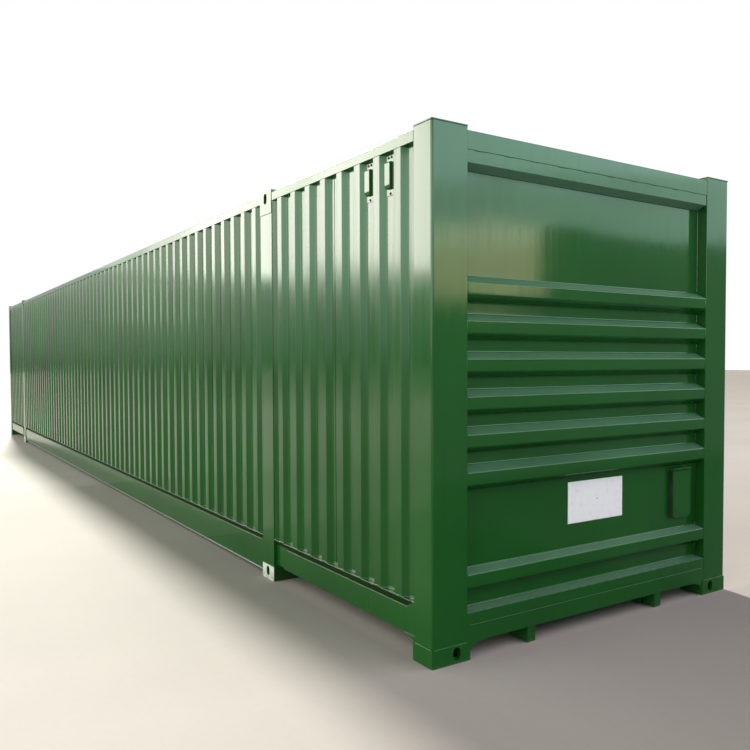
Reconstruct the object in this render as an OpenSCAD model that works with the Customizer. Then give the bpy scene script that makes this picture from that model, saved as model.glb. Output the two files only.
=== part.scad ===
// Shipping container, 53 ft high cube, with stacking frames at the 40 ft positions.
// X runs along the length, with the blind front end at +X and the doors at -X.
// Y runs across, with the left side, as seen from the doors, at +Y.
// Z is up from the ground, and the origin is under the middle of the container.

/* [Overall] */
// Length over the end fittings
length = 16154; // [15000:1:16200]
// Width over the side faces
width = 2591; // [2500:1:2600]
// Height over the fittings
height = 2896; // [2800:1:2900]
// Length over the two stacking frames
frame_length = 12192; // [12150:1:12200]

/* [Fittings] */
// Distance of a twistlock aperture's middle from the end of its frame
lock_in_x = 103.5; // [101:0.5:106]
// Distance of a twistlock aperture's middle from the side face
lock_in_y = 166; // [164:0.5:170]
// Length of a twistlock aperture
lock_slot_l = 124; // [110:0.5:128]
// Width of a twistlock aperture
lock_slot_w = 63.5; // [55:0.5:66]
// Length of an end fitting along X
end_fitting_l = 178; // [172:1:190]
// Height of an end fitting
end_fitting_h = 97; // [94:1:118]
// Length of a stacking fitting along X
frame_fitting_l = 198; // [185:1:210]
// Height of a lower stacking fitting
low_fitting_h = 107; // [105:1:118]
// Height of an upper stacking fitting
top_fitting_h = 170; // [130:1:200]
// Reach of every fitting in from the side face
fitting_w = 258; // [250:1:280]
// Wall of a fitting
fitting_wall = 26; // [18:1:28]
// Room beside a twistlock aperture inside a fitting
lock_room = 8; // [4:1:10]
// Thickness of the plate over the pocket of a lower fitting
fitting_roof_t = 6; // [4:0.5:10]
// Radius of the outer edges of a fitting
fitting_edge_r = 8; // [4:1:14]
// Width of the hand hole in a fitting's face
hand_hole_w = 51; // [40:1:54]
// Height of the hand hole in a lower fitting
low_hole_h = 70; // [60:1:72]
// Height of the hand hole in an upper fitting
top_hole_h = 79.5; // [70:0.5:82]

/* [Posts] */
// Width of a front post on the end face
front_post_w = 238; // [200:1:245]
// Width of a rear post on the end face
rear_post_w = 130; // [110:1:160]
// Depth of a corner post on the side face
post_d = 168; // [140:1:171]
// Depth of a stacking post in from the side face
frame_post_d = 110; // [70:1:140]
// Plate thickness of the posts
post_t = 6; // [4:0.5:10]
// Thickness of the plate that caps a corner post
cap_t = 6; // [3:0.5:12]
// How far the posts stand in from the fittings
post_inset = 3; // [1:0.5:4]
// Bend radius of a corner post's outer edge
post_r = 14; // [8:1:18]

/* [Side walls] */
// Distance from one ridge to the next
side_pitch = 217.6; // [200:0.1:260]
// Width of a ridge's outer face
side_face = 70; // [50:1:90]
// Run of a slope along the wall
side_slope = 31; // [15:1:40]
// Depth of the corrugation
side_depth = 29; // [25:1:42]
// Distance from a stacking frame to the first ridge of an end bay
side_lead = 93; // [60:1:120]
// How far the ridges stand in from the side face
side_inset = 5; // [3:1:8]
// Thickness of the wall sheets
sheet_t = 2; // [1.5:0.1:3]

/* [Rails] */
// Side of the square top rail
top_rail_s = 60; // [50:1:80]
// Plate thickness of the rails
rail_t = 5; // [3:0.5:6]
// Drop of the top rail below the fittings
top_rail_drop = 24; // [18:1:30]
// Height of the ledge on which a side wall stands
ledge_z = 318; // [280:1:340]
// Width of that ledge
ledge_w = 60; // [50:1:80]
// Height of the groove under the ledge
groove_h = 42; // [20:1:60]
// Depth of that groove
groove_d = 26; // [10:1:40]
// Lower edge of the middle bottom rail
mid_rail_z = 48; // [30:1:60]
// Lower edge of the end bays' bottom rails
end_rail_z = 126; // [119:1:134]
// How far the bottom rails' plates stand in from the posts
rail_plate_in = 8; // [2:1:12]
// Distance from a stacking frame to the foot of an end rail's curved edge
rail_end_low = 147; // [100:1:180]
// Distance from a stacking frame to the top of that edge
rail_end_high = 213; // [190:1:260]

/* [Front end] */
// Lower edge of the front sill
sill_z = 96; // [85:1:110]
// Upper edge of the front sill
sill_top = 256; // [230:1:270]
// Depth of the sill and header boxes along X
beam_d = 100; // [90:1:120]
// Plate thickness of the sills and headers
beam_t = 4; // [3:0.5:8]
// Height of the front header
header_h = 168; // [120:1:180]
// Height of the flat plate under the front header's box
header_plate_h = 70; // [40:1:90]
// How far that plate stands in from the box
header_plate_in = 3; // [1:0.5:6]
// Drop of the headers below the fittings
header_drop = 28; // [26:1:40]
// How far the front wall's flats lie behind its ridges
front_depth = 70; // [40:1:74]
// How far the front wall's ridges stand in from the end face
front_inset = 5; // [3:1:12]
// Number of ridges in the upper group
front_ridges = 6; // [3:1:6]
// Lower edge of the lowest ridge of that group
front_ridge_z = 956; // [920:1:980]
// Distance from one ridge to the next
front_pitch = 207.4; // [190:0.1:220]
// Height of a ridge's face
front_face = 71; // [50:1:80]
// Height of a ridge's slopes
front_slope = 36; // [25:1:45]
// Lower edge of the single low ridge
low_ridge_z = 395; // [370:1:400]
// Height of the low ridge's face
low_ridge_face = 73; // [50:1:80]

// Length of the curved brackets under the front sill
front_gusset_l = 211; // [80:1:260]
// Lower end of those brackets
gusset_z = 5; // [4:1:40]
// Length of the curved brackets under the end bays' rails
side_gusset_l = 120; // [60:1:160]
// Thickness of the curved brackets
gusset_t = 6; // [4:0.5:10]

/* [Roof] */
// Distance from one roof trough to the next
roof_pitch = 209; // [180:1:260]
// Width of a roof trough's floor
roof_trough = 91; // [60:1:100]
// Run of a roof slope
roof_slope = 15; // [8:1:25]
// Depth of the roof corrugation
roof_depth = 20; // [12:1:30]
// Distance from the end face to the corrugated roof sheet
roof_end = 200; // [180:1:260]
// Thickness of the flat plates at the roof's ends
roof_plate_t = 4; // [2:0.5:5]
// Reach of the front plate behind the header
roof_lap = 50; // [20:1:80]
// Gap between the roof sheet's edge and the top rail
roof_gap = 4; // [2:1:8]
// How far the roof sheet's flanges stay in from the top rail's face
roof_edge = 6; // [2:1:12]

/* [Floor] */
// Top of the floor boards
floor_z = 167; // [160:1:180]
// Thickness of the floor boards
floor_t = 28; // [19:1:30]
// Gap between the floor boards and the side walls
floor_gap = 6; // [2:1:10]
// Depth of a cross member in the middle bay
cross_h = 88; // [70:1:125]
// Depth of a cross member in an end bay
end_cross_h = 45; // [30:1:60]
// How far in from the rails an end bay's cross members are cut away below
end_cope = 100; // [60:1:140]
// Width of a cross member's flanges
cross_w = 45; // [35:1:60]
// Plate thickness of a cross member
cross_t = 4; // [3:0.5:6]
// Distance between cross members
cross_pitch = 305; // [280:1:400]
// Clear width of the gooseneck tunnel
tunnel_w = 1029; // [1020:1:1040]
// Clear height of the gooseneck tunnel
tunnel_h = 135; // [125:1:136]
// Length of the tunnel behind the front stacking frame
tunnel_l = 3315; // [3000:1:3500]
// Width of the rail on each side of the tunnel
tunnel_rail_w = 85; // [60:1:95]
// Lower edge of those rails
tunnel_rail_z = 6; // [4:1:25]
// Width of a rail's end block under the front sill
tunnel_end_w = 60; // [40:1:60]
// How far the end blocks stop short of the front end
tunnel_end_back = 12; // [10:1:60]

/* [Doors] */
// How far the door leaves lie in from the rear end
door_inset = 60; // [55:1:66]
// Thickness of a door leaf
door_t = 50; // [40:1:60]
// Gap between a door leaf and its frame
door_gap = 13; // [8:1:18]
// Gap between the two leaves
leaf_gap = 8; // [5:1:14]
// Width of a leaf's frame tubes
leaf_tube = 100; // [80:1:120]
// Number of grooves in a leaf's panel
leaf_grooves = 5; // [3:1:6]
// Depth of those grooves
leaf_groove_d = 32; // [20:1:36]
// Top of the rear sill
rear_sill_top = 165; // [158:1:167]
// Reach of the rear sill's flange to the floor boards
sill_flange = 12; // [6:1:20]
// Lower edge of the rear sill
rear_sill_z = 56; // [40:1:70]
// Height of the rear header
rear_header_h = 102; // [90:1:130]
// Reach of the drip rail over the doors
drip_w = 50; // [20:1:58]
// Thickness of the drip rail
drip_t = 4; // [3:0.5:6]
// Radius of a lock rod
rod_r = 17; // [14:0.5:20]
// Distance of the inner lock rods from the middle
rod_inner_y = 190; // [160:1:260]
// Distance of the outer lock rods from the middle
rod_outer_y = 760; // [700:1:850]
// Width of a lock rod's cam
cam_w = 28; // [20:1:34]
// Height of a cam
cam_h = 52; // [30:1:60]
// Thickness of a keeper's plate
keeper_t = 4; // [3:0.5:6]
// Radius of a hinge pin
pin_r = 11; // [8:0.5:12]
// Distance of a hinge pin from the post's inner edge
pin_in = 24; // [20:1:30]
// Distance of a hinge pin behind the frame's face
pin_out = 30; // [26:1:40]
// Height of a hinge blade
blade_h = 80; // [60:1:120]
// Length of a hinge blade
blade_l = 160; // [120:1:200]
// Number of hinges on a leaf
hinges = 5; // [3:1:5]
// Height of the lower door handles
handle_z = 1180; // [1000:1:1300]
// Step from a lower handle up to its neighbour
handle_step = 90; // [70:1:120]
// Distance of a rod's end bearings from the ends of the leaf
bearing_in = 120; // [60:1:200]
// Distance of the middle bearings from the handles
bearing_out = 190; // [120:1:240]
// Length of a door handle
handle_l = 400; // [300:1:450]
// Thickness of a door handle
handle_bar_t = 8; // [5:0.5:10]

/* [Small parts] */
// Lower edge of the vents
vent_z = 2573; // [2450:1:2580]
// Height of a vent's flange plate
vent_h = 227; // [180:1:230]
// Width of a vent's hood
vent_w = 52; // [40:1:56]
// Height of a vent's hood
hood_h = 150; // [120:1:175]
// How far a vent's hood stays behind the ridges
hood_in = 3; // [2:1:10]
// Height of the slanted underside of a vent's hood
hood_slant = 30; // [10:1:60]
// Gap between the document box and the front post
box_gap = 102.5; // [88.5:0.5:198.5]
// Lower edge of the document box
box_z = 557; // [500:1:558]
// Width of the document box
box_w = 190; // [150:1:220]
// Height of the document box
box_h = 346; // [250:1:346]
// Depth of the document box
box_d = 35; // [20:1:50]
// Height of the flanges above and below the document box
box_flange = 20; // [15:1:40]

/* [Hidden] */

paint = [0.07, 0.30, 0.13];
white_paint = [0.88, 0.89, 0.86];
steel = [0.62, 0.64, 0.64];
rubber = [0.06, 0.06, 0.06];
wood = [0.50, 0.34, 0.20];

half_l = length / 2;
half_w = width / 2;
frame_x = frame_length / 2;
frame_back = frame_x - frame_fitting_l;
post_back = half_l - post_inset - post_d;
front_post_in = half_w - post_inset - front_post_w;
rear_post_in = half_w - post_inset - rear_post_w;
fitting_in = half_w - fitting_w;
lock_x = frame_x - lock_in_x;
lock_y = half_w - lock_in_y;
end_lock_x = half_l - lock_in_x;
end_bay = post_back - frame_x;

rail_top = height - top_rail_drop;
rail_low = rail_top - top_rail_s;
rail_face = half_w - post_inset;
rail_plate_out = rail_face - rail_plate_in;
groove_z = ledge_z - groove_h;
web_y = rail_face - groove_d - rail_t;
wall_face = half_w - side_inset;
trough_y = wall_face - side_depth;

header_top = height - header_drop;
header_low = header_top - header_h;
box_y = front_post_in - box_gap - box_w;
front_ridge_x = half_l - front_inset;
front_flat_x = front_ridge_x - front_depth;
beam_x = half_l - front_inset;
beam_back = beam_x - beam_d;

mid_ridges = floor((2 * frame_back - 2 * side_slope - side_face) / side_pitch) + 1;
mid_lead = (2 * frame_back - (mid_ridges - 1) * side_pitch - side_face) / 2;
end_ridges = floor((end_bay - side_lead - side_face - side_slope) / side_pitch) + 1;

floor_low = floor_z - floor_t;
tunnel_in = tunnel_w / 2;
tunnel_out = tunnel_in + tunnel_rail_w;
tunnel_back = frame_x - tunnel_l;
tunnel_front = half_l - tunnel_end_back;

door_face = half_l - door_inset;
rear_face = door_face - 6;
floor_back = door_face - door_t - sill_flange;
leaf_y = rear_post_in - door_gap;
leaf_low = rear_sill_top + door_gap;
rear_header_low = header_top - rear_header_h;
leaf_top = rear_header_low - door_gap;
leaf_h = leaf_top - leaf_low;
rod_x = door_face + rod_r + 13;
rod_top = header_top - drip_t - 12;
handle_x = rod_x + rod_r + 1;
fine = 48;

// Unit vector along v.
function unit(v) = v / norm(v);

// Left normal of the segment from a to b.
function left_of(a, b) = let (d = unit(b - a)) [-d[1], d[0]];

// Point i of path p moved by t to the left, mitred with both its segments.
function offset_point(p, i, t) =
  let (last = len(p) - 1,
       before = left_of(p[max(i - 1, 0)], p[max(i, 1)]),
       after = left_of(p[min(i, last - 1)], p[min(i + 1, last)]),
       m = unit(before + after))
  p[i] + t * m / (m * before);

// Closed outline of a bent sheet of thickness t to the left of path p.
function sheet_outline(p, t) =
  concat(p, [for (i = [len(p) - 1 : -1 : 0]) offset_point(p, i, t)]);

// Points of an arc about c, from angle a to angle b, with radii rx and ry.
function arc(c, rx, ry, a, b, n = 8) =
  [for (i = [0 : n]) let (w = a + (b - a) * i / n) [c[0] + rx * cos(w), c[1] + ry * sin(w)]];

// Points of a quarter of an arc with squarer shoulders, from c + [rx, 0] to c + [0, ry].
function square_arc(c, rx, ry, n = 10) =
  [for (i = [0 : n]) let (w = 90 * i / n) c + [rx * pow(cos(w), 0.62), ry * pow(sin(w), 0.62)]];

// Box between two corners.
module span(a, b) {
  translate(a) cube(b - a);
}

// Mirrors a shape made for the front left corner to another corner.
module corner(end, side) {
  mirror([end < 0 ? 1 : 0, 0, 0]) mirror([0, side < 0 ? 1 : 0, 0]) children();
}

module all_corners() {
  for (end = [-1, 1]) for (side = [-1, 1]) corner(end, side) children();
}

// Prism along Y from y0 to y1, with an outline given as [x, z] points.
module along_y(y0, y1) {
  translate([0, y1, 0]) rotate([90, 0, 0]) linear_extrude(y1 - y0) children();
}

// Prism along X from x0 to x1, with an outline given as [y, z] points.
module along_x(x0, x1) {
  translate([x0, 0, 0]) rotate([90, 0, 90]) linear_extrude(x1 - x0) children();
}

// Round-ended hole of length l along X and width w, along Z from z0 to z1.
module slot_z(x, y, z0, z1, l, w) {
  for (s = [-1, 1]) translate([x + s * (l - w) / 2, y, z0]) cylinder(r = w / 2, h = z1 - z0, $fn = fine);
  span([x - (l - w) / 2, y - w / 2, z0], [x + (l - w) / 2, y + w / 2, z1]);
}

// Upright round-ended hole through a side face, from y0 to y1.
module hand_hole_y(x, z, y0, y1, h) {
  r = hand_hole_w / 2;
  for (s = [-1, 1])
    translate([x, y0, z + s * (h / 2 - r)]) rotate([-90, 0, 0]) cylinder(r = r, h = y1 - y0, $fn = fine);
  span([x - r, y0, z - h / 2 + r], [x + r, y1, z + h / 2 - r]);
}

// Upright round-ended hole through an end face, from x0 to x1.
module hand_hole_x(y, z, x0, x1, h) {
  r = hand_hole_w / 2;
  for (s = [-1, 1])
    translate([x0, y, z + s * (h / 2 - r)]) rotate([0, 90, 0]) cylinder(r = r, h = x1 - x0, $fn = fine);
  span([x0, y - r, z - h / 2 + r], [x1, y + r, z + h / 2 - r]);
}

// Upright block with its outer vertical edge rounded.
module round_block(a, b, r) {
  difference() {
    span(a, b);
    translate([b[0] - r, b[1] - r, a[2] - 1]) difference() {
      cube([r + 1, r + 1, b[2] - a[2] + 2]);
      cylinder(r = r, h = b[2] - a[2] + 2, $fn = fine);
    }
  }
}

module corner_post(end, side, inner_y) {
  outer = half_l - post_inset;
  color(paint) corner(end, side) difference() {
    round_block([post_back, inner_y, end_fitting_h], [outer, rail_face, height - cap_t], post_r);
    round_block([post_back + post_t, inner_y + post_t, end_fitting_h - 1],
                [outer - post_t, rail_face - post_t, height - cap_t + 1], post_r - post_t);
  }
}

module stacking_post(end, side) {
  x0 = frame_back + post_inset;
  x1 = frame_x - post_inset;
  y0 = half_w - frame_post_d;
  color(paint) corner(end, side) difference() {
    span([x0, y0, low_fitting_h], [x1, rail_face, height - top_fitting_h]);
    span([x0 + post_t, y0 + post_t, low_fitting_h - 1],
         [x1 - post_t, rail_face - post_t, height - top_fitting_h + 1]);
  }
}

module end_fitting() {
  w = fitting_wall;
  x0 = half_l - end_fitting_l;
  difference() {
    round_block([x0, fitting_in, 0], [half_l, half_w, end_fitting_h], fitting_edge_r);
    span([end_lock_x - lock_slot_l / 2 - 1, lock_y - lock_slot_w / 2 - lock_room, w],
         [half_l - w, half_w - w, end_fitting_h - fitting_roof_t]);
    slot_z(end_lock_x, lock_y, -1, w + 1, lock_slot_l, lock_slot_w);
    hand_hole_x(lock_y, end_fitting_h / 2 + 5, half_l - w - 1, half_l + 1, low_hole_h);
  }
}

module end_fittings() {
  color(paint) all_corners() end_fitting();
}

module post_caps() {
  color(paint) for (side = [-1, 1]) {
    corner(1, side)
      round_block([post_back, front_post_in, height - cap_t], [half_l, half_w, height], fitting_edge_r);
    corner(-1, side)
      round_block([post_back, rear_post_in, height - cap_t], [half_l, half_w, height], fitting_edge_r);
  }
}

module lower_stacking_fittings() {
  w = fitting_wall;
  color(white_paint) all_corners() difference() {
    span([frame_back, fitting_in, 0], [frame_x, half_w, low_fitting_h]);
    span([lock_x - lock_slot_l / 2 - lock_room, lock_y - lock_slot_w / 2 - lock_room, w],
         [lock_x + lock_slot_l / 2 + lock_room, half_w - w, low_fitting_h - fitting_roof_t]);
    slot_z(lock_x, lock_y, -1, w + 1, lock_slot_l, lock_slot_w);
    hand_hole_y(lock_x, low_fitting_h / 2 + 8, half_w - w - 1, half_w + 1, low_hole_h);
  }
}

module upper_stacking_fittings() {
  w = fitting_wall;
  z0 = height - top_fitting_h;
  color(paint) all_corners() difference() {
    span([frame_back, fitting_in, z0], [frame_x, half_w, height]);
    span([lock_x - lock_slot_l / 2 - lock_room, lock_y - lock_slot_w / 2 - lock_room, z0 + w],
         [lock_x + lock_slot_l / 2 + lock_room, half_w - w, height - w]);
    slot_z(lock_x, lock_y, height - w - 1, height + 1, lock_slot_l, lock_slot_w);
    hand_hole_y(lock_x, height - 56, half_w - w - 1, half_w + 1, top_hole_h);
  }
}

// Hollow box beam across the container, as an outline in X and Z.
module beam_outline(x0, x1, z0, z1, t) {
  difference() {
    translate([x0, z0]) square([x1 - x0, z1 - z0]);
    translate([x0 + t, z0 + t]) square([x1 - x0 - 2 * t, z1 - z0 - 2 * t]);
  }
}

module front_header() {
  box_z = header_low + header_plate_h;
  plate_x = beam_x - header_plate_in;
  color(paint) along_y(-front_post_in, front_post_in) {
    beam_outline(beam_back, beam_x, box_z, header_top, beam_t);
    translate([plate_x - beam_t, header_low]) square([beam_t, header_plate_h + 1]);
  }
}

module front_sill() {
  color(paint) difference() {
    along_y(-front_post_in, front_post_in) beam_outline(beam_back, beam_x, sill_z, sill_top, beam_t);
    for (s = [-1, 1])
      corner(1, s) span([beam_back - 1, fitting_in, sill_z - 1], [beam_x + 1, half_w, end_fitting_h]);
  }
}

// Path of the front wall in X and Z, from the sill up to the header.
function front_path() = concat(
  [[front_ridge_x, sill_top + sheet_t],
   [front_flat_x, sill_top + sheet_t + 14],
   [front_flat_x, low_ridge_z - front_slope],
   [front_ridge_x, low_ridge_z],
   [front_ridge_x, low_ridge_z + low_ridge_face],
   [front_flat_x, low_ridge_z + low_ridge_face + 20]],
  [for (i = [0 : front_ridges - 1])
    let (z = front_ridge_z + i * front_pitch)
    each [[front_flat_x, z - front_slope], [front_ridge_x, z],
          [front_ridge_x, z + front_face], [front_flat_x, z + front_face + front_slope]]],
  [[front_flat_x, header_low - 27], [front_ridge_x - header_plate_in, header_low - sheet_t]]);

module front_wall() {
  color(paint) along_y(-front_post_in, front_post_in) polygon(sheet_outline(front_path(), sheet_t));
}

// Curved brackets between the end fittings and the beams next to them.
module fitting_gussets() {
  side_h = end_rail_z - end_fitting_h;
  color(paint) for (side = [-1, 1]) {
    corner(1, side) along_x(beam_x - gusset_t, beam_x) polygon(concat(
      [[fitting_in, sill_z]],
      square_arc([fitting_in - front_gusset_l, gusset_z], front_gusset_l, sill_z - gusset_z)));
    for (end = [-1, 1]) corner(end, side) along_y(rail_face - gusset_t, rail_face) polygon(concat(
      [[post_back, end_rail_z]],
      arc([post_back - side_gusset_l, end_fitting_h], side_gusset_l, side_h, 0, 90)));
  }
}

// Flat sheet-metal box with a flange above and below, the upper one with a hole for a seal.
module document_box() {
  x0 = front_flat_x;
  t = 3;
  low = box_z + box_flange;
  top = box_z + box_h - box_flange;
  color(paint) difference() {
    union() {
      span([x0, box_y, low], [x0 + box_d, box_y + box_w, top]);
      span([x0, box_y, box_z], [x0 + t, box_y + box_w, box_z + box_h]);
    }
    span([x0 - 1, box_y + t, low + t], [x0 + box_d - t, box_y + box_w - t, top - t]);
    translate([x0 - 1, box_y + box_w - 50, top + box_flange / 2]) rotate([0, 90, 0])
      cylinder(r = 5, h = t + 2, $fn = 24);
  }
}

module top_rail(side) {
  color(paint) for (x = [[-post_back, -frame_x], [-frame_back, frame_back], [frame_x, post_back]])
    corner(1, side) along_x(x[0], x[1]) difference() {
      translate([rail_face - top_rail_s, rail_low]) square(top_rail_s);
      translate([rail_face - top_rail_s + rail_t, rail_low + rail_t]) square(top_rail_s - 2 * rail_t);
    }
}

// Ledge and web of a bottom rail in Y and Z.
module rail_ledge_outline() {
  translate([rail_face - ledge_w, ledge_z - rail_t]) square([ledge_w, rail_t]);
  translate([web_y, groove_z - rail_t]) square([rail_t, groove_h]);
}

// Shelf under the groove of a bottom rail, from x0 to x1.
module rail_shelf(x0, x1) {
  span([x0, web_y, groove_z - rail_t], [x1, rail_plate_out - 1, groove_z]);
}

// Outline in X and Z of the flush end of a groove next to a post at x, with its foot at x - l.
function groove_end(x, l) = let (z = ledge_z - rail_t) [[x, z], [x - l / 4, z], [x - l, groove_z]];

module rail_plate(points) {
  along_y(rail_plate_out - rail_t, rail_plate_out) polygon(points);
}

module bottom_rail(side) {
  ends = groove_end(frame_back, 40);
  color(paint) corner(1, side) {
    along_x(-frame_back, frame_back) {
      rail_ledge_outline();
      translate([rail_plate_out - 1, mid_rail_z]) square([rail_face - rail_plate_out + 1, rail_t]);
    }
    rail_shelf(-frame_back, frame_back);
    rail_plate(concat([[-frame_back, mid_rail_z], [frame_back, mid_rail_z]], ends,
                      [for (i = [len(ends) - 1 : -1 : 0]) [-ends[i][0], ends[i][1]]]));
  }
}

// The plate of an end bay's rail starts with a curved edge, in front of a set-in plate.
module end_bay_rails(side) {
  low = frame_x + rail_end_low;
  high = frame_x + rail_end_high;
  color(paint) for (end = [-1, 1]) corner(end, side) {
    along_x(frame_x, post_back) rail_ledge_outline();
    rail_shelf(high, post_back);
    span([frame_x, web_y, end_rail_z], [high + 15, web_y + rail_t, groove_z]);
    rail_plate(concat([[post_back, end_rail_z]], groove_end(post_back, 80),
                      arc([high, end_rail_z], high - low, groove_z - end_rail_z, 90, 180)));
  }
}

// Path of a side wall in X and Y over n ridges, from x0 to x1.
function side_path(x0, x1, lead, n) = concat(
  [[x0, trough_y]],
  [for (i = [0 : n - 1])
    let (x = x0 + lead + i * side_pitch)
    each [[x - side_slope, trough_y], [x, wall_face],
          [x + side_face, wall_face], [x + side_face + side_slope, trough_y]]],
  [[x1, trough_y]]);

module side_wall(end, side, x0, x1, lead, n) {
  color(paint) corner(end, side) translate([0, 0, ledge_z]) linear_extrude(rail_low - ledge_z)
    polygon(sheet_outline(side_path(x0, x1, lead, n), -sheet_t));
}

module end_wall_bay(end, side) {
  side_wall(end, side, frame_x, post_back, side_lead, end_ridges);
}

module mid_wall_bay(side) {
  side_wall(1, side, -frame_back, frame_back, mid_lead, mid_ridges);
}

// Vent plate and hood in the trough behind ridge i of a front end bay.
module vent(i) {
  t = 3;
  x = frame_x + side_lead + i * side_pitch + side_face + (side_pitch - side_face) / 2;
  plate_w = side_pitch - side_face - 2 * side_slope - 12;
  z0 = vent_z + (vent_h - hood_h) / 2;
  z1 = z0 + hood_h;
  d = side_depth - hood_in;
  r = d / 3;
  translate([x, trough_y, 0]) {
    span([-plate_w / 2, 0, vent_z], [plate_w / 2, t, vent_z + vent_h]);
    translate([-vent_w / 2, 0, 0]) rotate([90, 0, 90]) linear_extrude(vent_w)
      polygon(concat([[t, z0]], arc([d - r, z0 + hood_slant], r, hood_slant, -90, 0, 5),
                     arc([d - r, z1 - r], r, r, 0, 90, 5), [[t, z1]]));
  }
}

module vents() {
  color(paint) for (side = [-1, 1]) for (i = [end_ridges - 3, end_ridges - 2]) corner(1, side) vent(i);
}

// Path of the roof sheet in X and Z, with troughs below the rails' top.
function roof_path(x0, n) = concat(
  [[-x0, rail_top]],
  [for (i = [0 : n - 1])
    let (x = (i - (n - 1) / 2) * roof_pitch, half = roof_trough / 2)
    each [[x - half - roof_slope, rail_top], [x - half, rail_top - roof_depth],
          [x + half, rail_top - roof_depth], [x + half + roof_slope, rail_top]]],
  [[x0, rail_top]]);

module roof_sheet() {
  x0 = half_l - roof_end;
  n = floor((2 * x0 - roof_pitch / 2) / roof_pitch);
  side = rail_face - top_rail_s - roof_gap;
  color(paint) difference() {
    union() {
      along_y(-side, side) polygon(sheet_outline(roof_path(x0, n), sheet_t));
      for (s = [-1, 1]) corner(1, s) {
        span([-x0, side - sheet_t, rail_top], [x0, rail_face - roof_edge, rail_top + sheet_t]);
        span([-x0, side - sheet_t, rail_top - roof_depth], [x0, side, rail_top + sheet_t]);
      }
    }
    all_corners() span([frame_back, fitting_in, rail_low], [frame_x, half_w, height]);
  }
}

module roof_end_plates() {
  side = rail_face - top_rail_s;
  z = rail_top - roof_plate_t;
  color(paint) {
    span([beam_back - roof_lap, -front_post_in, z], [beam_x - beam_t, front_post_in, rail_top]);
    span([half_l - roof_end, -side, z], [post_back, side, rail_top]);
    mirror([1, 0, 0]) span([post_back - 1, -rear_post_in, z], [rear_face - beam_t, rear_post_in, rail_top]);
    mirror([1, 0, 0]) span([half_l - roof_end, -side, z], [post_back, side, rail_top]);
  }
}

// Room for a post in the floor boards, from x0 to x1 and from y out.
module floor_notch(x0, x1, y) {
  span([x0, y, floor_low - 1], [x1, half_w, floor_z + 1]);
}

module floor_boards() {
  y = trough_y - sheet_t - floor_gap;
  color(wood) difference() {
    span([-floor_back, -y, floor_low], [beam_back, y, floor_z]);
    all_corners() floor_notch(frame_back, frame_x, half_w - frame_post_d);
    all_corners() floor_notch(post_back, half_l, rear_post_in);
    for (s = [-1, 1]) corner(1, s) floor_notch(post_back, half_l, front_post_in);
  }
}

// Channel of depth h under the floor, with its web at x, from y0 to y1.
module channel(x, y0, y1, h) {
  along_y(y0, y1) translate([x, floor_low - h])
    polygon([[0, 0], [cross_w, 0], [cross_w, cross_t], [cross_t, cross_t],
             [cross_t, h - cross_t], [cross_w, h - cross_t], [cross_w, h], [0, h]]);
}

// Channel of an end bay, cut away under the rail at its outer end on each of the sides.
module coped_channel(x, y0, y1, sides) {
  difference() {
    channel(x, y0, y1, end_cross_h);
    for (s = sides)
      corner(1, s)
        span([x - 1, y1 - end_cope, floor_low - end_cross_h - 1], [x + cross_w + 1, y1 + 1, end_rail_z]);
  }
}

module cross_members() {
  y = rail_plate_out - rail_t;
  lead = cross_pitch / 2;
  color(paint) {
    for (x = [-frame_back + lead : cross_pitch : tunnel_back - cross_w - 1]) channel(x, -y, y, cross_h);
    for (x = [tunnel_back + lead : cross_pitch : frame_back - cross_w - 1])
      for (s = [-1, 1]) corner(1, s) channel(x, tunnel_out, y, cross_h);
    for (x = [frame_x + lead : cross_pitch : post_back - cross_w - 1]) {
      mirror([1, 0, 0]) coped_channel(x, -y, y, [-1, 1]);
      for (s = [-1, 1]) corner(1, s) coped_channel(x, tunnel_out, y, [1]);
    }
    for (s = [-1, 1]) corner(1, s) channel(lock_x, tunnel_out, fitting_in, cross_h);
    mirror([1, 0, 0]) channel(lock_x, -fitting_in, fitting_in, cross_h);
  }
}

module gooseneck_tunnel() {
  t = cross_t;
  plate = floor_low - tunnel_h;
  color(paint) {
    span([tunnel_back, -tunnel_out, tunnel_h], [beam_back, tunnel_out, floor_low]);
    for (s = [-1, 1]) corner(1, s) {
      along_x(tunnel_back, beam_back) difference() {
        translate([tunnel_in, tunnel_rail_z]) square([tunnel_rail_w, tunnel_h - tunnel_rail_z]);
        translate([tunnel_in + t, tunnel_rail_z + t])
          square([tunnel_rail_w - 2 * t, tunnel_h - tunnel_rail_z - 2 * t]);
      }
      span([beam_back, tunnel_out - tunnel_end_w, tunnel_rail_z], [tunnel_front, tunnel_out, sill_z]);
    }
    span([tunnel_back - plate, -tunnel_out, tunnel_rail_z], [tunnel_back, tunnel_out, floor_low]);
  }
}

// Rear header with a drip rail above the lock rods.
module rear_header() {
  color(paint) mirror([1, 0, 0]) along_y(-rear_post_in, rear_post_in) {
    beam_outline(rear_face - beam_d, rear_face, rear_header_low, header_top, beam_t);
    translate([rear_face - 1, header_top - drip_t]) square([drip_w + 1, drip_t]);
  }
}

// Rear sill with a flange that closes the gap to the floor boards.
module rear_sill() {
  inner = door_face - door_t;
  color(paint) mirror([1, 0, 0]) difference() {
    along_y(-rear_post_in, rear_post_in) {
      beam_outline(inner, rear_face, rear_sill_z, rear_sill_top, beam_t);
      translate([floor_back, rear_sill_top - beam_t]) square([inner - floor_back + 1, beam_t]);
    }
    for (s = [-1, 1]) corner(1, s)
      span([post_back - 1, fitting_in, rear_sill_z - 1], [half_l, half_w, end_fitting_h]);
  }
}

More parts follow.
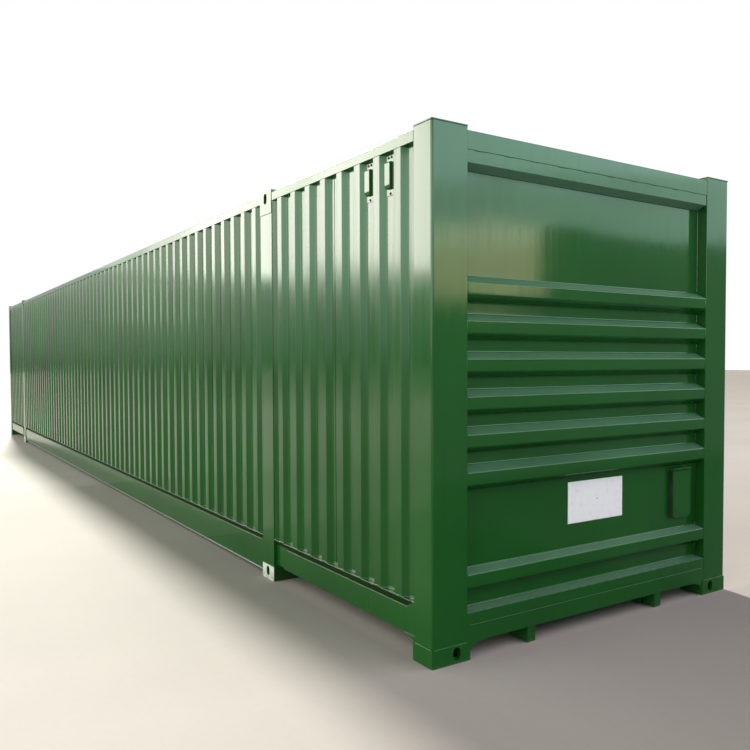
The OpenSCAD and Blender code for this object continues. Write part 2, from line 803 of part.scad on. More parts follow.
// Path of a door panel in X and Z, with its flats level with the leaf's face.
function door_path(x, z0, z1) =
  let (step = (z1 - z0) / leaf_grooves, flat = step * 0.3, slope = leaf_groove_d * 0.9)
  concat([[x, z0]],
         [for (i = [0 : leaf_grooves - 1]) let (z = z0 + i * step)
           each [[x, z + flat / 2], [x - leaf_groove_d, z + flat / 2 + slope],
                 [x - leaf_groove_d, z + step - flat / 2 - slope], [x, z + step - flat / 2]]],
         [[x, z1]]);

module door(side) {
  inner = door_face - door_t;
  y0 = leaf_gap / 2;
  t = beam_t;
  panel_low = leaf_low + leaf_tube;
  panel_top = leaf_top - leaf_tube;
  color(paint) corner(-1, side) union() {
    difference() {
      span([inner, y0, leaf_low], [door_face, leaf_y, leaf_top]);
      span([inner - 1, y0 + leaf_tube, panel_low], [door_face + 1, leaf_y - leaf_tube, panel_top]);
      for (y = [y0, leaf_y - leaf_tube])
        span([inner + t, y + t, leaf_low + t], [door_face - t, y + leaf_tube - t, leaf_top - t]);
    }
    along_y(y0 + leaf_tube - 1, leaf_y - leaf_tube + 1)
      polygon(sheet_outline(door_path(door_face - 2, panel_low - 1, panel_top + 1), sheet_t));
  }
}

module door_gaskets() {
  inner = door_face - door_t;
  color(rubber) mirror([1, 0, 0]) difference() {
    span([inner, -rear_post_in, rear_sill_top], [door_face - 4, rear_post_in, rear_header_low]);
    for (s = [-1, 1]) corner(1, s) span([inner - 1, leaf_gap / 2, leaf_low], [door_face, leaf_y, leaf_top]);
  }
}

// Rod from the sill to the header, with a cam at each end whose nose points to the frame.
module lock_rods() {
  z0 = rear_sill_z + 20;
  z1 = rod_top;
  color(steel) for (side = [-1, 1]) corner(-1, side) for (y = [rod_inner_y, rod_outer_y]) {
    translate([rod_x, y, z0]) cylinder(r = rod_r, h = z1 - z0, $fn = fine);
    for (z = [z0, z1 - cam_h]) {
      translate([rod_x, y, z]) cylinder(r = rod_r + 5, h = cam_h, $fn = fine);
      span([rear_face + keeper_t + 1, y - cam_w / 2, z], [rod_x, y + cam_w / 2, z + cam_h]);
    }
  }
}

// Keeper plate on the sill or header, with a jaw on each side of a cam's nose.
module keeper(y, z) {
  jaw = 14;
  inner = cam_w / 2 + 0.3;
  half = inner + jaw + 16;
  span([rear_face, y - half, z - 6], [rear_face + keeper_t, y + half, z + cam_h + 6]);
  for (s = [-1, 1]) translate([0, y, 0]) mirror([0, s < 0 ? 1 : 0, 0])
    span([rear_face, inner, z], [rod_x - rod_r - 6, inner + jaw, z + cam_h]);
}

// Heights of a rod's bearings: near both ends, on both sides of the handles and halfway above them.
function bearing_heights() =
  let (low = leaf_low + bearing_in, top = leaf_top - bearing_in, mid = handle_z + handle_step + bearing_out)
  [low, handle_z - bearing_out, mid, (mid + top) / 2, top];

// Bearing for the rod at y: a foot plate on the leaf and a round strap about the rod.
module rod_bearing(y, z) {
  r = rod_r + 8;
  difference() {
    union() {
      span([door_face, y - 48, z - 25], [door_face + 5, y + 48, z + 25]);
      span([door_face, y - r, z - 18], [rod_x, y + r, z + 18]);
      translate([rod_x, y, z - 18]) cylinder(r = r, h = 36, $fn = fine);
    }
    translate([rod_x, y, z - 26]) cylinder(r = rod_r + 0.3, h = 52, $fn = fine);
  }
}

module rod_brackets() {
  color(paint) for (side = [-1, 1]) corner(-1, side) for (y = [rod_inner_y, rod_outer_y]) {
    for (z = bearing_heights()) rod_bearing(y, z);
    keeper(y, rear_sill_z + 20);
    keeper(y, rod_top - cam_h);
  }
}

// Bar and saddle of a handle on the rod at y, reaching to the side given by s.
module handle(y, z, s) {
  hub = rod_r + 9;
  color(steel) union() {
    difference() {
      span([rod_x, y - hub, z - 30], [handle_x + handle_bar_t, y + hub, z + 30]);
      translate([rod_x, y, z - 31]) cylinder(r = rod_r + 0.3, h = 62, $fn = fine);
    }
    translate([handle_x, y, z - 14]) mirror([0, s < 0 ? 1 : 0, 0]) cube([handle_bar_t, handle_l, 28]);
  }
}

module door_handles() {
  for (side = [-1, 1]) corner(-1, side) {
    handle(rod_inner_y, handle_z, 1);
    handle(rod_outer_y, handle_z + handle_step, -1);
  }
}

// Block on a door leaf that holds the far end of a handle.
module handle_catch(y, z) {
  span([door_face, y - 22, z - 34], [handle_x - 0.3, y + 22, z + 34]);
}

module handle_catches() {
  reach = handle_l - 45;
  color(paint) for (side = [-1, 1]) corner(-1, side) {
    handle_catch(rod_inner_y + reach, handle_z);
    handle_catch(rod_outer_y - reach, handle_z + handle_step);
  }
}

// Hinge of the left leaf: a blade bolted to the leaf, a pin, and two lugs on the post.
module hinge() {
  y = rear_post_in - pin_in;
  x = rear_face + pin_out;
  h = blade_h / 2;
  lug_h = 20;
  gap = 2;
  translate([x, y, -h - gap - lug_h - 5]) cylinder(r = pin_r, h = 2 * (h + gap + lug_h + 5), $fn = fine);
  for (z = [-h - gap - lug_h, h + gap])
    span([door_face + 1, y - pin_r - 5, z], [x + pin_r + 5, rear_post_in, z + lug_h]);
  difference() {
    span([door_face, y - blade_l, -h], [x + pin_r + 3, y + pin_r + 3, h]);
    span([door_face + 12, y - blade_l - 1, -h - 1], [x + pin_r + 4, y - pin_r - 7, h + 1]);
  }
}

module door_hinges() {
  z0 = leaf_low + bearing_in;
  step = (leaf_h - 2 * bearing_in) / (hinges - 1);
  color(paint) for (side = [-1, 1]) corner(-1, side)
    for (i = [0 : hinges - 1]) translate([0, 0, z0 + i * step]) hinge();
}

corner_post(1, -1, front_post_in);  // front_post_right
corner_post(1, 1, front_post_in);  // front_post_left
corner_post(-1, -1, rear_post_in);  // rear_post_right
corner_post(-1, 1, rear_post_in);  // rear_post_left
stacking_post(1, -1);  // stacking_post_front_right
stacking_post(1, 1);  // stacking_post_front_left
stacking_post(-1, -1);  // stacking_post_rear_right
stacking_post(-1, 1);  // stacking_post_rear_left
end_fittings();
post_caps();
lower_stacking_fittings();
upper_stacking_fittings();
front_header();
front_wall();
front_sill();
fitting_gussets();
document_box();
top_rail(-1);  // top_rail_right
top_rail(1);  // top_rail_left
bottom_rail(-1);  // bottom_rail_right
bottom_rail(1);  // bottom_rail_left
end_bay_rails(-1);  // end_bay_rails_right
end_bay_rails(1);  // end_bay_rails_left
end_wall_bay(1, -1);  // side_wall_right_front
mid_wall_bay(-1);  // side_wall_right_middle
end_wall_bay(-1, -1);  // side_wall_right_rear
end_wall_bay(1, 1);  // side_wall_left_front
mid_wall_bay(1);  // side_wall_left_middle
end_wall_bay(-1, 1);  // side_wall_left_rear
vents();
roof_sheet();
roof_end_plates();
floor_boards();
cross_members();
gooseneck_tunnel();
rear_header();
rear_sill();
door(-1);  // door_right
door(1);  // door_left
door_gaskets();
lock_rods();
rod_brackets();
door_handles();
handle_catches();
door_hinges();
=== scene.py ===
"""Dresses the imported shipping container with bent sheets, rounded steelwork, welds, paint and a plain stage."""

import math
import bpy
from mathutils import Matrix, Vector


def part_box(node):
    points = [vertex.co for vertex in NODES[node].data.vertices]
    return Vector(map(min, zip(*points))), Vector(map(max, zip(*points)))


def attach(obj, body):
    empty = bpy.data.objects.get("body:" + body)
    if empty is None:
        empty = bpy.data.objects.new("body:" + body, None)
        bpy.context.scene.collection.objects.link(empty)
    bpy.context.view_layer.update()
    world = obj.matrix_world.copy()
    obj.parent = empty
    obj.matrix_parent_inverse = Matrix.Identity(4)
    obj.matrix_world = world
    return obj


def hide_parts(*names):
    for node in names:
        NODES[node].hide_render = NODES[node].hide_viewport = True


bl_info = {
    "name": "Shipping Container Look",
    "version": (1, 0, 0),
    "blender": (4, 5, 0),
    "location": "View3D > Sidebar > Container",
    "description": "Builds the detailed surfaces, the paint and the stage of a shipping container on its packed frame",
    "category": "Object",
}

import bmesh
import bpy
import numpy as np
from bpy.props import FloatProperty, FloatVectorProperty, IntProperty, PointerProperty
from bpy.types import Operator, Panel, PropertyGroup
from mathutils import Matrix, Vector

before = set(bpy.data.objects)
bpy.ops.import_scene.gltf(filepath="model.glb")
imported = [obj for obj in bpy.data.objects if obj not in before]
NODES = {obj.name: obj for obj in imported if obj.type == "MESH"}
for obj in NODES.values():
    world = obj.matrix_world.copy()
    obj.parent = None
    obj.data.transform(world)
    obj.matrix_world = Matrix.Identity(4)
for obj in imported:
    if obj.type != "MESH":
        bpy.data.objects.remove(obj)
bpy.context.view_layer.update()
ALONG = (1.0, 0.0, 0.0)
ACROSS = (0.0, 1.0, 0.0)
UP = (0.0, 0.0, 1.0)
ENDS = {"front": 1, "rear": -1}
SIDES = {"right": -1, "left": 1}
BAYS = {"front": 1, "middle": 0, "rear": -1}

# Places and sizes in metres. Heights are above the ground, and faces are measured from the middle plane.
LIP_FACE = 1.2845
LIP_HEIGHT = 0.276
GROOVE_HEIGHTS = (LIP_HEIGHT - 0.0015, LIP_HEIGHT + 0.0415)
GROOVE_FACE = LIP_FACE - 0.003
# Heights of the band under the header whose faces that lean down are made paler
UNDER_HEADER_HEIGHTS = (2.60, 2.64)
FITTING_FACES = (1.2915, 1.2935)
SOILED_HEIGHT = 0.42
FITTING_GRIME_HEIGHT = 0.10
SILL_FOLD = 0.189
HEADER_SEAM = 2.7695
STITCH_PITCH = 0.21
STITCH_LENGTH = 0.08
PLACARD_ACROSS = (-0.210, 0.284)
PLACARD_HEIGHTS = (0.635, 0.892)
PLACARD_THICKNESS = 0.0025
STRIP_ACROSS = (-0.240, 0.245)
STRIP_FOOT = 0.921
ROD_SPACING = 0.570
WELD_RIPPLE_LENGTH = 0.012

# Colours
DUST = (0.36, 0.33, 0.27, 1)
# Pale bluish tone of painted sky light, a painted highlight on faces that lean up
PAINTED_SKY_LIGHT = (0.18, 0.32, 0.25, 1)
# Paler grey-green for faces that lean down just under the header
UNDER_HEADER_TONE = (0.12, 0.25, 0.18, 1)
# Dark olive of painted shade in the groove behind the bottom rails' lips
GROOVE_PAINTED_SHADE = (0.012, 0.032, 0.007, 1)
SMEARS = (0.34, 0.33, 0.28, 1)
GRIME = (0.13, 0.115, 0.095, 1)
BARE_STEEL = (0.055, 0.045, 0.04, 1)


class ContainerSheets(PropertyGroup):
    """Sizes of the corrugated sheets."""

    side_pitch: FloatProperty(
        name="Side pitch", description="Distance between two ridges of a side wall", default=0.2176, unit="LENGTH"
    )
    side_face: FloatProperty(
        name="Side face", description="Width of a side ridge's outer face", default=0.070, unit="LENGTH"
    )
    side_slope: FloatProperty(
        name="Side slope", description="Run of a side ridge's slope along the wall", default=0.031, unit="LENGTH"
    )
    side_depth: FloatProperty(
        name="Side depth", description="Depth of the side corrugation", default=0.029, unit="LENGTH"
    )
    end_lead: FloatProperty(
        name="End bay lead", description="Distance from a stacking frame to the first ridge", default=0.093,
        unit="LENGTH",
    )
    end_ridges: IntProperty(name="End bay ridges", description="Ridges in an end bay", default=8)
    middle_ridges: IntProperty(name="Middle ridges", description="Ridges in the middle bay", default=54)
    front_pitch: FloatProperty(
        name="Front pitch", description="Distance between two ridges of the front wall", default=0.2074, unit="LENGTH"
    )
    front_face: FloatProperty(
        name="Front face", description="Height of a front ridge's face", default=0.071, unit="LENGTH"
    )
    front_slope: FloatProperty(
        name="Front slope", description="Height of a front ridge's slope", default=0.036, unit="LENGTH"
    )
    front_depth: FloatProperty(
        name="Front depth", description="Depth of the front wall's ridges", default=0.070, unit="LENGTH"
    )
    front_low: FloatProperty(
        name="Lowest upper ridge", description="Height of the first ridge of the upper group", default=0.956,
        unit="LENGTH",
    )
    front_ridges: IntProperty(name="Upper ridges", description="Ridges in the upper group of the front wall", default=6)
    low_ridge: FloatProperty(
        name="Low ridge", description="Height of the single low ridge", default=0.395, unit="LENGTH"
    )
    low_face: FloatProperty(
        name="Low ridge face", description="Height of the single low ridge's face", default=0.073, unit="LENGTH"
    )
    low_shoulder: FloatProperty(
        name="Low ridge shoulder", description="Height of the single low ridge's top slope", default=0.020,
        unit="LENGTH",
    )
    roof_pitch: FloatProperty(
        name="Roof pitch", description="Distance between two roof troughs", default=0.209, unit="LENGTH"
    )
    roof_trough: FloatProperty(
        name="Roof trough", description="Width of a roof trough's floor", default=0.091, unit="LENGTH"
    )
    roof_slope: FloatProperty(
        name="Roof slope", description="Run of a roof slope along the container", default=0.015, unit="LENGTH"
    )
    roof_depth: FloatProperty(
        name="Roof depth", description="Depth of the roof corrugation", default=0.020, unit="LENGTH"
    )
    sheet: FloatProperty(name="Sheet thickness", description="Thickness of the sheets", default=0.002, unit="LENGTH")
    bend: FloatProperty(name="Bend radius", description="Radius of the sheets' bends", default=0.009, unit="LENGTH")
    wave: FloatProperty(
        name="Sheet wave", description="Unevenness of the sheets between their welds", default=0.0009, unit="LENGTH"
    )


class ContainerPaint(PropertyGroup):
    """Colours and finish of the steelwork."""

    green: FloatVectorProperty(
        name="Green", description="Colour of the gloss enamel", subtype="COLOR", size=3, default=(0.008, 0.083, 0.0107)
    )
    white: FloatVectorProperty(
        name="White", description="Colour of the white fittings", subtype="COLOR", size=3, default=(0.74, 0.77, 0.72)
    )
    gloss: FloatProperty(name="Roughness", description="Roughness of the clean enamel", default=0.10, min=0.02, max=1)
    dust: FloatProperty(name="Dust", description="Amount of dust on level faces", default=0.03, min=0, max=1)


class ContainerStage(PropertyGroup):
    """Camera, floor and lights."""

    lens: FloatProperty(name="Focal length", description="Camera focal length in millimetres", default=36.858)
    shift_x: FloatProperty(name="Shift X", description="Camera shift across", default=-0.02814)
    shift_y: FloatProperty(name="Shift Y", description="Camera shift upwards", default=0.01548)
    floor_size: FloatProperty(name="Floor size", description="Side of the floor", default=240.0, unit="LENGTH")
    floor_tone: FloatVectorProperty(
        name="Floor tone", description="Colour of the floor", subtype="COLOR", size=3, default=(0.36, 0.338, 0.305)
    )
    ambient: FloatProperty(name="Ambient", description="Strength of the even light from the sky", default=0.06)
    back: FloatProperty(name="Back light", description="Strength of the soft light from behind the doors", default=5.8)
    back_rise: FloatProperty(
        name="Back light's height", description="Angle of that light above the ground", default=math.radians(33),
        unit="ROTATION",
    )
    key: FloatProperty(name="Key light", description="Brightness of the light behind the right side", default=8.4)
    side: FloatProperty(name="Side light", description="Brightness of the light beside the right side", default=5.6)
    fill: FloatProperty(name="Fill light", description="Brightness of the light in front", default=3.0)


# Shapes


def points_at(x, y, z):
    """Points with these coordinates, where each is one number or an array of them."""
    return np.stack(np.broadcast_arrays(x, y, z), axis=-1)


def rounded(path, radius, steps=4):
    """Path with its inner corners rounded.

    A corner C becomes the points (1-t)^2 A + 2t(1-t) C + t^2 B for t from 0 to 1, where A and B lie on
    the sides of the corner, radius * tan(half its turn) away from it.
    """
    path = np.asarray(path, float)
    back = path[:-2] - path[1:-1]
    ahead = path[2:] - path[1:-1]
    back_length = np.linalg.norm(back, axis=1)
    ahead_length = np.linalg.norm(ahead, axis=1)
    back /= back_length[:, None]
    ahead /= ahead_length[:, None]
    turn = np.pi - np.arccos(np.clip((back * ahead).sum(axis=1), -1, 1))
    reach = np.minimum(radius * np.tan(turn / 2), 0.45 * np.minimum(back_length, ahead_length))[:, None, None]
    t = np.linspace(0, 1, steps + 1)[None, :, None]
    corner = path[1:-1, None]
    start = corner + back[:, None] * reach
    end = corner + ahead[:, None] * reach
    curve = (1 - t) ** 2 * start + 2 * t * (1 - t) * corner + t**2 * end
    return np.vstack([path[:1], curve.reshape(-1, path.shape[1]), path[-1:]])


def arc_lengths(path):
    """Distance of each point of a path from its start, along the path."""
    return np.concatenate([[0.0], np.cumsum(np.linalg.norm(np.diff(path, axis=0), axis=1))])


def densified(path, step):
    """Path with extra points between its own, so that none lie much more than a step apart."""
    path = np.asarray(path, float)
    own = arc_lengths(path)
    even = np.arange(step, own[-1], step)
    after = np.clip(np.searchsorted(own, even), 1, len(own) - 1)
    nearest = np.minimum(even - own[after - 1], own[after] - even)
    every = np.sort(np.concatenate([own, even[nearest > 0.3 * step]]))
    return np.stack([np.interp(every, own, path[:, i]) for i in range(path.shape[1])], axis=1)


def uneven(a, b, size):
    """Slight unevenness of a welded sheet at a metres along it and b metres across it.

    size * (0.5 sin(2.3 a + 1.4 sin(1.9 b)) + 0.3 sin(6.1 a - 3.7 b + 1) + 0.2 sin(11 b + 1.7 a))
    """
    return size * (
        0.5 * np.sin(2.3 * a + 1.4 * np.sin(1.9 * b))
        + 0.3 * np.sin(6.1 * a - 3.7 * b + 1)
        + 0.2 * np.sin(11 * b + 1.7 * a)
    )


def held(a, low, high, reach=0.25):
    """Share from 0 at the ends low and high to 1 beyond reach from them: sin of a quarter turn over reach."""
    edge = np.clip(np.minimum(a - low, high - a) / reach, 0, 1)
    return np.sin(edge * np.pi / 2)


def facing(points, outward):
    """Grid of points, reversed where its faces would look away from the direction outward."""
    along = points[:-1, 1:] - points[:-1, :-1]
    up = points[1:, :-1] - points[:-1, :-1]
    normal = np.cross(along, up).reshape(-1, 3).sum(axis=0)
    return points if normal @ np.asarray(outward, float) >= 0 else points[:, ::-1]


def tube(path, radius, across, sides=6, ripple=0.0):
    """Rod around a path, tapered to a point at both ends, as rings of points.

    Ring i is path(i) + r(i) (cos(w) side + sin(w) rise), with side = tangent x across, rise = side x tangent
    and r(i) = radius (1 + ripple sin(2 pi s / l + 0.7 sin(41 s))) at the distance s along the path, where l is
    WELD_RIPPLE_LENGTH.
    """
    path = np.asarray(path, float)
    tangent = np.gradient(path, axis=0)
    tangent /= np.linalg.norm(tangent, axis=1)[:, None]
    side = np.cross(tangent, np.asarray(across, float))
    side /= np.linalg.norm(side, axis=1)[:, None]
    rise = np.cross(side, tangent)
    s = arc_lengths(path)
    r = radius * (1 + ripple * np.sin(2 * np.pi * s / WELD_RIPPLE_LENGTH + 0.7 * np.sin(s * 41)))
    r[0] = r[-1] = radius * 0.05
    w = np.linspace(0, 2 * np.pi, sides, endpoint=False)
    ring = np.cos(w)[None, :, None] * side[:, None] + np.sin(w)[None, :, None] * rise[:, None]
    return path[:, None] + r[:, None, None] * ring


def bead(path, radius, across, sides=6, ripple=0.16):
    """Weld bead along a path: a tube with a ripple."""
    return tube(path, radius, across, sides, ripple)


def seam(path, radius):
    """Level weld bead along a path with few corners."""
    return bead(densified(path, 0.012), radius, UP)


def turned(profile, centre, axis, sides=20):
    """Profile of (radius, height) points turned about an axis through a centre, as a grid of points.

    Point (i, j) is centre + height(i) axis + radius(i) (cos(w(j)) u + sin(w(j)) v).
    """
    profile = np.asarray(profile, float)
    axis = np.asarray(axis, float)
    u = np.cross(axis, [0.3, 0.5, 0.81])
    u /= np.linalg.norm(u)
    v = np.cross(axis, u)
    w = np.linspace(0, 2 * np.pi, sides, endpoint=False)
    ring = np.cos(w)[:, None] * u + np.sin(w)[:, None] * v
    return np.asarray(centre, float) + profile[:, 1, None, None] * axis + profile[:, 0, None, None] * ring[None]


def bolt_head(centre, axis, radius, height):
    """Domed bolt head with a flat washer under it, as a turned profile."""
    profile = [
        (radius * 1.45, 0),
        (radius * 1.45, height * 0.22),
        (radius * 1.35, height * 0.28),
        (radius, height * 0.28),
        (radius * 0.98, height * 0.72),
        (radius * 0.75, height * 0.95),
        (radius * 0.35, height),
        (radius * 0.03, height),
    ]
    return turned(profile, centre, axis)


def cells(rows, columns, start=0, wrapped=False):
    """Corner numbers of the quads of a grid of points, closed round its columns where wrapped."""
    index = start + np.arange(rows * columns).reshape(rows, columns)
    if wrapped:
        index = np.hstack([index, index[:, :1]])
    corners = [index[:-1, :-1], index[:-1, 1:], index[1:, 1:], index[1:, :-1]]
    return np.stack(corners, axis=-1).reshape(-1, 4)


def modify(piece, name, kind, **settings):
    """Puts a modifier with its settings on a piece."""
    modifier = piece.modifiers.new(name, kind)
    for key, value in settings.items():
        setattr(modifier, key, value)


def build(name, grids, finish, nodes=(), thickness=0.0, wrapped=False):
    """Object made of grids of points, with one quad for each cell and the thickness behind the faces."""
    starts = np.cumsum([0] + [grid.shape[0] * grid.shape[1] for grid in grids])
    places = np.vstack([grid.reshape(-1, 3) for grid in grids])
    quads = np.vstack([cells(*grid.shape[:2], start, wrapped) for grid, start in zip(grids, starts)])
    mesh = bpy.data.meshes.new(name)
    mesh.vertices.add(len(places))
    mesh.vertices.foreach_set("co", places.astype(np.float32).ravel())
    mesh.loops.add(quads.size)
    mesh.loops.foreach_set("vertex_index", quads.astype(np.int32).ravel())
    mesh.polygons.add(len(quads))
    mesh.polygons.foreach_set("loop_start", np.arange(len(quads), dtype=np.int32) * 4)
    mesh.polygons.foreach_set("use_smooth", np.ones(len(quads), dtype=bool))
    mesh.update(calc_edges=True)
    mesh.validate()
    piece = bpy.data.objects.new(name, mesh)
    if thickness:
        modify(piece, "Thickness", "SOLIDIFY", thickness=thickness, offset=-1.0)
        modify(piece, "Flat faces", "WEIGHTED_NORMAL", keep_sharp=True)
    return finished(piece, finish, nodes)


def finished(piece, finish, nodes=()):
    """Puts a piece in the scene with its finish, on the body, in place of the nodes that it stands for."""
    bpy.context.scene.collection.objects.link(piece)
    piece.data.materials.clear()
    piece.data.materials.append(finishes()[finish])
    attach(piece, "root")
    if nodes:
        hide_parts(*nodes)
    return piece


def softened(node, width, finish="green enamel", segments=2):
    """Copy of a CAD node with its flat faces joined and its edges rounded, in place of the node."""
    work = bmesh.new()
    work.from_mesh(NODES[node].data)
    bmesh.ops.remove_doubles(work, verts=work.verts, dist=2e-5)
    bmesh.ops.dissolve_limit(
        work, angle_limit=math.radians(0.5), use_dissolve_boundaries=False, verts=work.verts, edges=work.edges
    )
    bmesh.ops.recalc_face_normals(work, faces=work.faces)
    mesh = bpy.data.meshes.new("soft_" + node)
    work.to_mesh(mesh)
    work.free()
    mesh.polygons.foreach_set("use_smooth", np.ones(len(mesh.polygons), dtype=bool))
    piece = bpy.data.objects.new("soft_" + node, mesh)
    modify(
        piece, "Rounded edges", "BEVEL", width=width, segments=segments, limit_method="ANGLE",
        angle_limit=math.radians(32), use_clamp_overlap=True, miter_outer="MITER_ARC",
    )
    modify(piece, "Flat faces", "WEIGHTED_NORMAL", keep_sharp=True)
    return finished(piece, finish, (node,))


# Materials


class NodeSheet:
    """A node tree under construction, with short names for the nodes used most."""

    def __init__(self, tree):
        self.tree = tree
        tree.nodes.clear()

    def add(self, kind, values=None, **settings):
        """New node with its settings, and each value put on its input or linked to it."""
        node = self.tree.nodes.new(kind)
        for key, value in settings.items():
            setattr(node, key, value)
        for key, value in (values or {}).items():
            if isinstance(value, bpy.types.NodeSocket):
                self.tree.links.new(value, node.inputs[key])
            else:
                node.inputs[key].default_value = value
        return node

    def math(self, operation, a, b=0.0, clamp=True):
        """One sum of two numbers, held between 0 and 1 unless asked otherwise."""
        return self.add("ShaderNodeMath", {0: a, 1: b}, operation=operation, use_clamp=clamp).outputs[0]

    def part(self, vector, axis):
        """One coordinate of a vector."""
        return self.add("ShaderNodeSeparateXYZ", {0: vector}).outputs[axis]


class Shader(NodeSheet):
    """A material under construction."""

    def __init__(self, name):
        self.material = bpy.data.materials.new(name)
        self.material.use_nodes = True
        super().__init__(self.material.node_tree)
        self.place = self.add("ShaderNodeTexCoord").outputs["Object"]

    def noise(self, scale, detail=3.0, roughness=0.5, stretch=None):
        """Noise from 0 to 1 over the object's own coordinates, stretched along its axes if asked."""
        place = self.place
        if stretch:
            place = self.add("ShaderNodeMapping", {"Vector": place, "Scale": stretch}).outputs[0]
        values = {"Vector": place, "Scale": scale, "Detail": detail, "Roughness": roughness}
        return self.add("ShaderNodeTexNoise", values).outputs[0]

    def between(self, value, low, high, start=0.0, end=1.0):
        """Value scaled from the range low to high onto start to end, with soft ends."""
        values = {"Value": value, "From Min": low, "From Max": high, "To Min": start, "To Max": end}
        return self.add("ShaderNodeMapRange", values, interpolation_type="SMOOTHSTEP").outputs[0]

    def mix(self, share, a, b):
        """Colour between a and b."""
        return self.add("ShaderNodeMix", {0: share, 6: a, 7: b}, data_type="RGBA").outputs[2]

    def bump(self, height, distance, normal=None):
        """Normal bent by a height map of the given depth in metres."""
        values = {"Height": height, "Distance": distance, "Strength": 1.0}
        if normal:
            values["Normal"] = normal
        return self.add("ShaderNodeBump", values).outputs[0]

    def upward(self, low=0.85, high=0.99):
        """Share of a face that looks up."""
        normal = self.add("ShaderNodeNewGeometry").outputs["Normal"]
        return self.between(self.part(normal, 2), low, high)

    def height(self):
        """Height above the ground."""
        return self.part(self.place, 2)

    def off_centre(self):
        """Distance from the container's middle plane."""
        return self.math("ABSOLUTE", self.part(self.place, 1), clamp=False)

    def finish(self, values):
        """Ends the material with its surface shader."""
        surface = self.add("ShaderNodeBsdfPrincipled", values)
        output = self.add("ShaderNodeOutputMaterial", {"Surface": surface.outputs[0]})
        output.is_active_output = True
        return self.material


def shade(colour, factor):
    """Colour times a factor, with its alpha."""
    return (colour[0] * factor, colour[1] * factor, colour[2] * factor, 1.0)


def enamel(name, colour, gloss, dust, wave=0.0011, painted_sky_light=0.0, groove=False):
    """Sprayed enamel: uneven plate, orange peel, runs, dust on top and a soiled foot.

    Where asked, faces that lean up get painted sky light, a pale bluish painted highlight, and are made rougher, and
    faces that lean down just under the header get a paler grey-green. A groove darkens the trough behind the bottom
    rails' lips with painted shade and takes its shine down.
    """
    s = Shader(name)
    cloud = s.noise(1.1, 3)
    grain = s.noise(23, 5, 0.6)
    runs = s.noise(1.0, 4, 0.6, stretch=(34, 34, 0.9))
    tone = s.mix(s.between(cloud, 0.3, 0.7), shade(colour, 0.90), shade(colour, 1.10))
    tone = s.mix(s.between(runs, 0.5, 0.8, 0, 0.35), tone, shade(colour, 0.78))
    dusty = s.math("MULTIPLY", s.upward(), s.between(grain, 0.2, 0.8, dust * 0.45, dust))
    soiled = s.between(grain, 0.35, 0.75, 0.0045, 0.015)
    foot = s.math("MULTIPLY", s.between(s.height(), SOILED_HEIGHT, 0.0), soiled)
    dirt_and_painted_light = s.math("MAXIMUM", dusty, foot)
    tone = s.mix(dirt_and_painted_light, tone, DUST)
    # Painted highlight: faces that lean up are mixed towards a pale bluish tone of painted sky light and made rougher.
    if painted_sky_light:
        layer = s.math("MULTIPLY", s.upward(0.55, 0.9), s.between(cloud, 0.3, 0.7, painted_sky_light * 0.75, painted_sky_light))
        tone = s.mix(layer, tone, PAINTED_SKY_LIGHT)
        dirt_and_painted_light = s.math("MAXIMUM", dirt_and_painted_light, layer)
        # Faces that lean down just under the header are made a paler grey-green.
        under_header = s.math("MULTIPLY", s.upward(-0.5, -0.85), s.between(s.height(), *UNDER_HEADER_HEIGHTS))
        tone = s.mix(under_header, tone, UNDER_HEADER_TONE)
    shine = 0.5
    # Painted shade: the groove behind the bottom rails' lips lies in the lip's shade, so it is darkened and its shine
    # taken down.
    if groove:
        foot, top = GROOVE_HEIGHTS
        above = s.between(s.height(), foot, foot + 0.002)
        behind = s.between(s.off_centre(), GROOVE_FACE, GROOVE_FACE - 0.001)
        layer = s.math("MULTIPLY", above, behind)
        layer = s.math("MULTIPLY", layer, s.between(s.height(), top, top - 0.003))
        tone = s.mix(layer, tone, GROOVE_PAINTED_SHADE)
        dirt_and_painted_light = s.math("MAXIMUM", dirt_and_painted_light, s.math("MULTIPLY", layer, 0.6))
        shine = s.between(layer, 0.0, 1.0, 0.5, 0.03)
    rough = s.math("ADD", s.between(runs, 0.3, 0.8, gloss * 0.8, gloss * 1.5), s.math("MULTIPLY", dirt_and_painted_light, 0.8))
    plate = s.bump(s.noise(2.1, 1.5, 0.4), wave)
    dents = s.bump(s.noise(9, 1, 0.4), wave * 0.10, plate)
    peel = s.bump(s.noise(170, 1.5), 0.00002, dents)
    values = {"Base Color": tone, "Roughness": rough, "IOR": 1.52, "Specular IOR Level": shine, "Normal": peel}
    return s.finish(values)


def chipped_enamel(name, colour, green):
    """White enamel on the outer faces of green cast steel, rubbed where locks and slings have touched it."""
    s = Shader(name)
    rub = s.noise(31, 6, 0.65)
    smear = s.noise(7, 5, 0.6, stretch=(1, 1, 2.4))
    tone = s.mix(s.between(smear, 0.45, 0.8, 0, 0.30), shade(colour, 1.0), SMEARS)
    grimy = s.between(rub, 0.4, 0.7, 0.1, 0.75)
    foot = s.math("MULTIPLY", s.between(s.height(), FITTING_GRIME_HEIGHT, 0.0), grimy)
    tone = s.mix(foot, tone, GRIME)
    chip = s.between(s.noise(64, 4, 0.7), 0.66, 0.70)
    tone = s.mix(chip, tone, BARE_STEEL)
    tone = s.mix(s.between(s.off_centre(), *FITTING_FACES), shade(green, 0.7), tone)
    rough = s.between(smear, 0.3, 0.8, 0.28, 0.5)
    casting = s.bump(s.noise(75, 4, 0.6), 0.0005)
    chips = s.bump(s.math("SUBTRACT", 1.0, chip), 0.0002, casting)
    return s.finish({"Base Color": tone, "Roughness": rough, "Normal": chips})


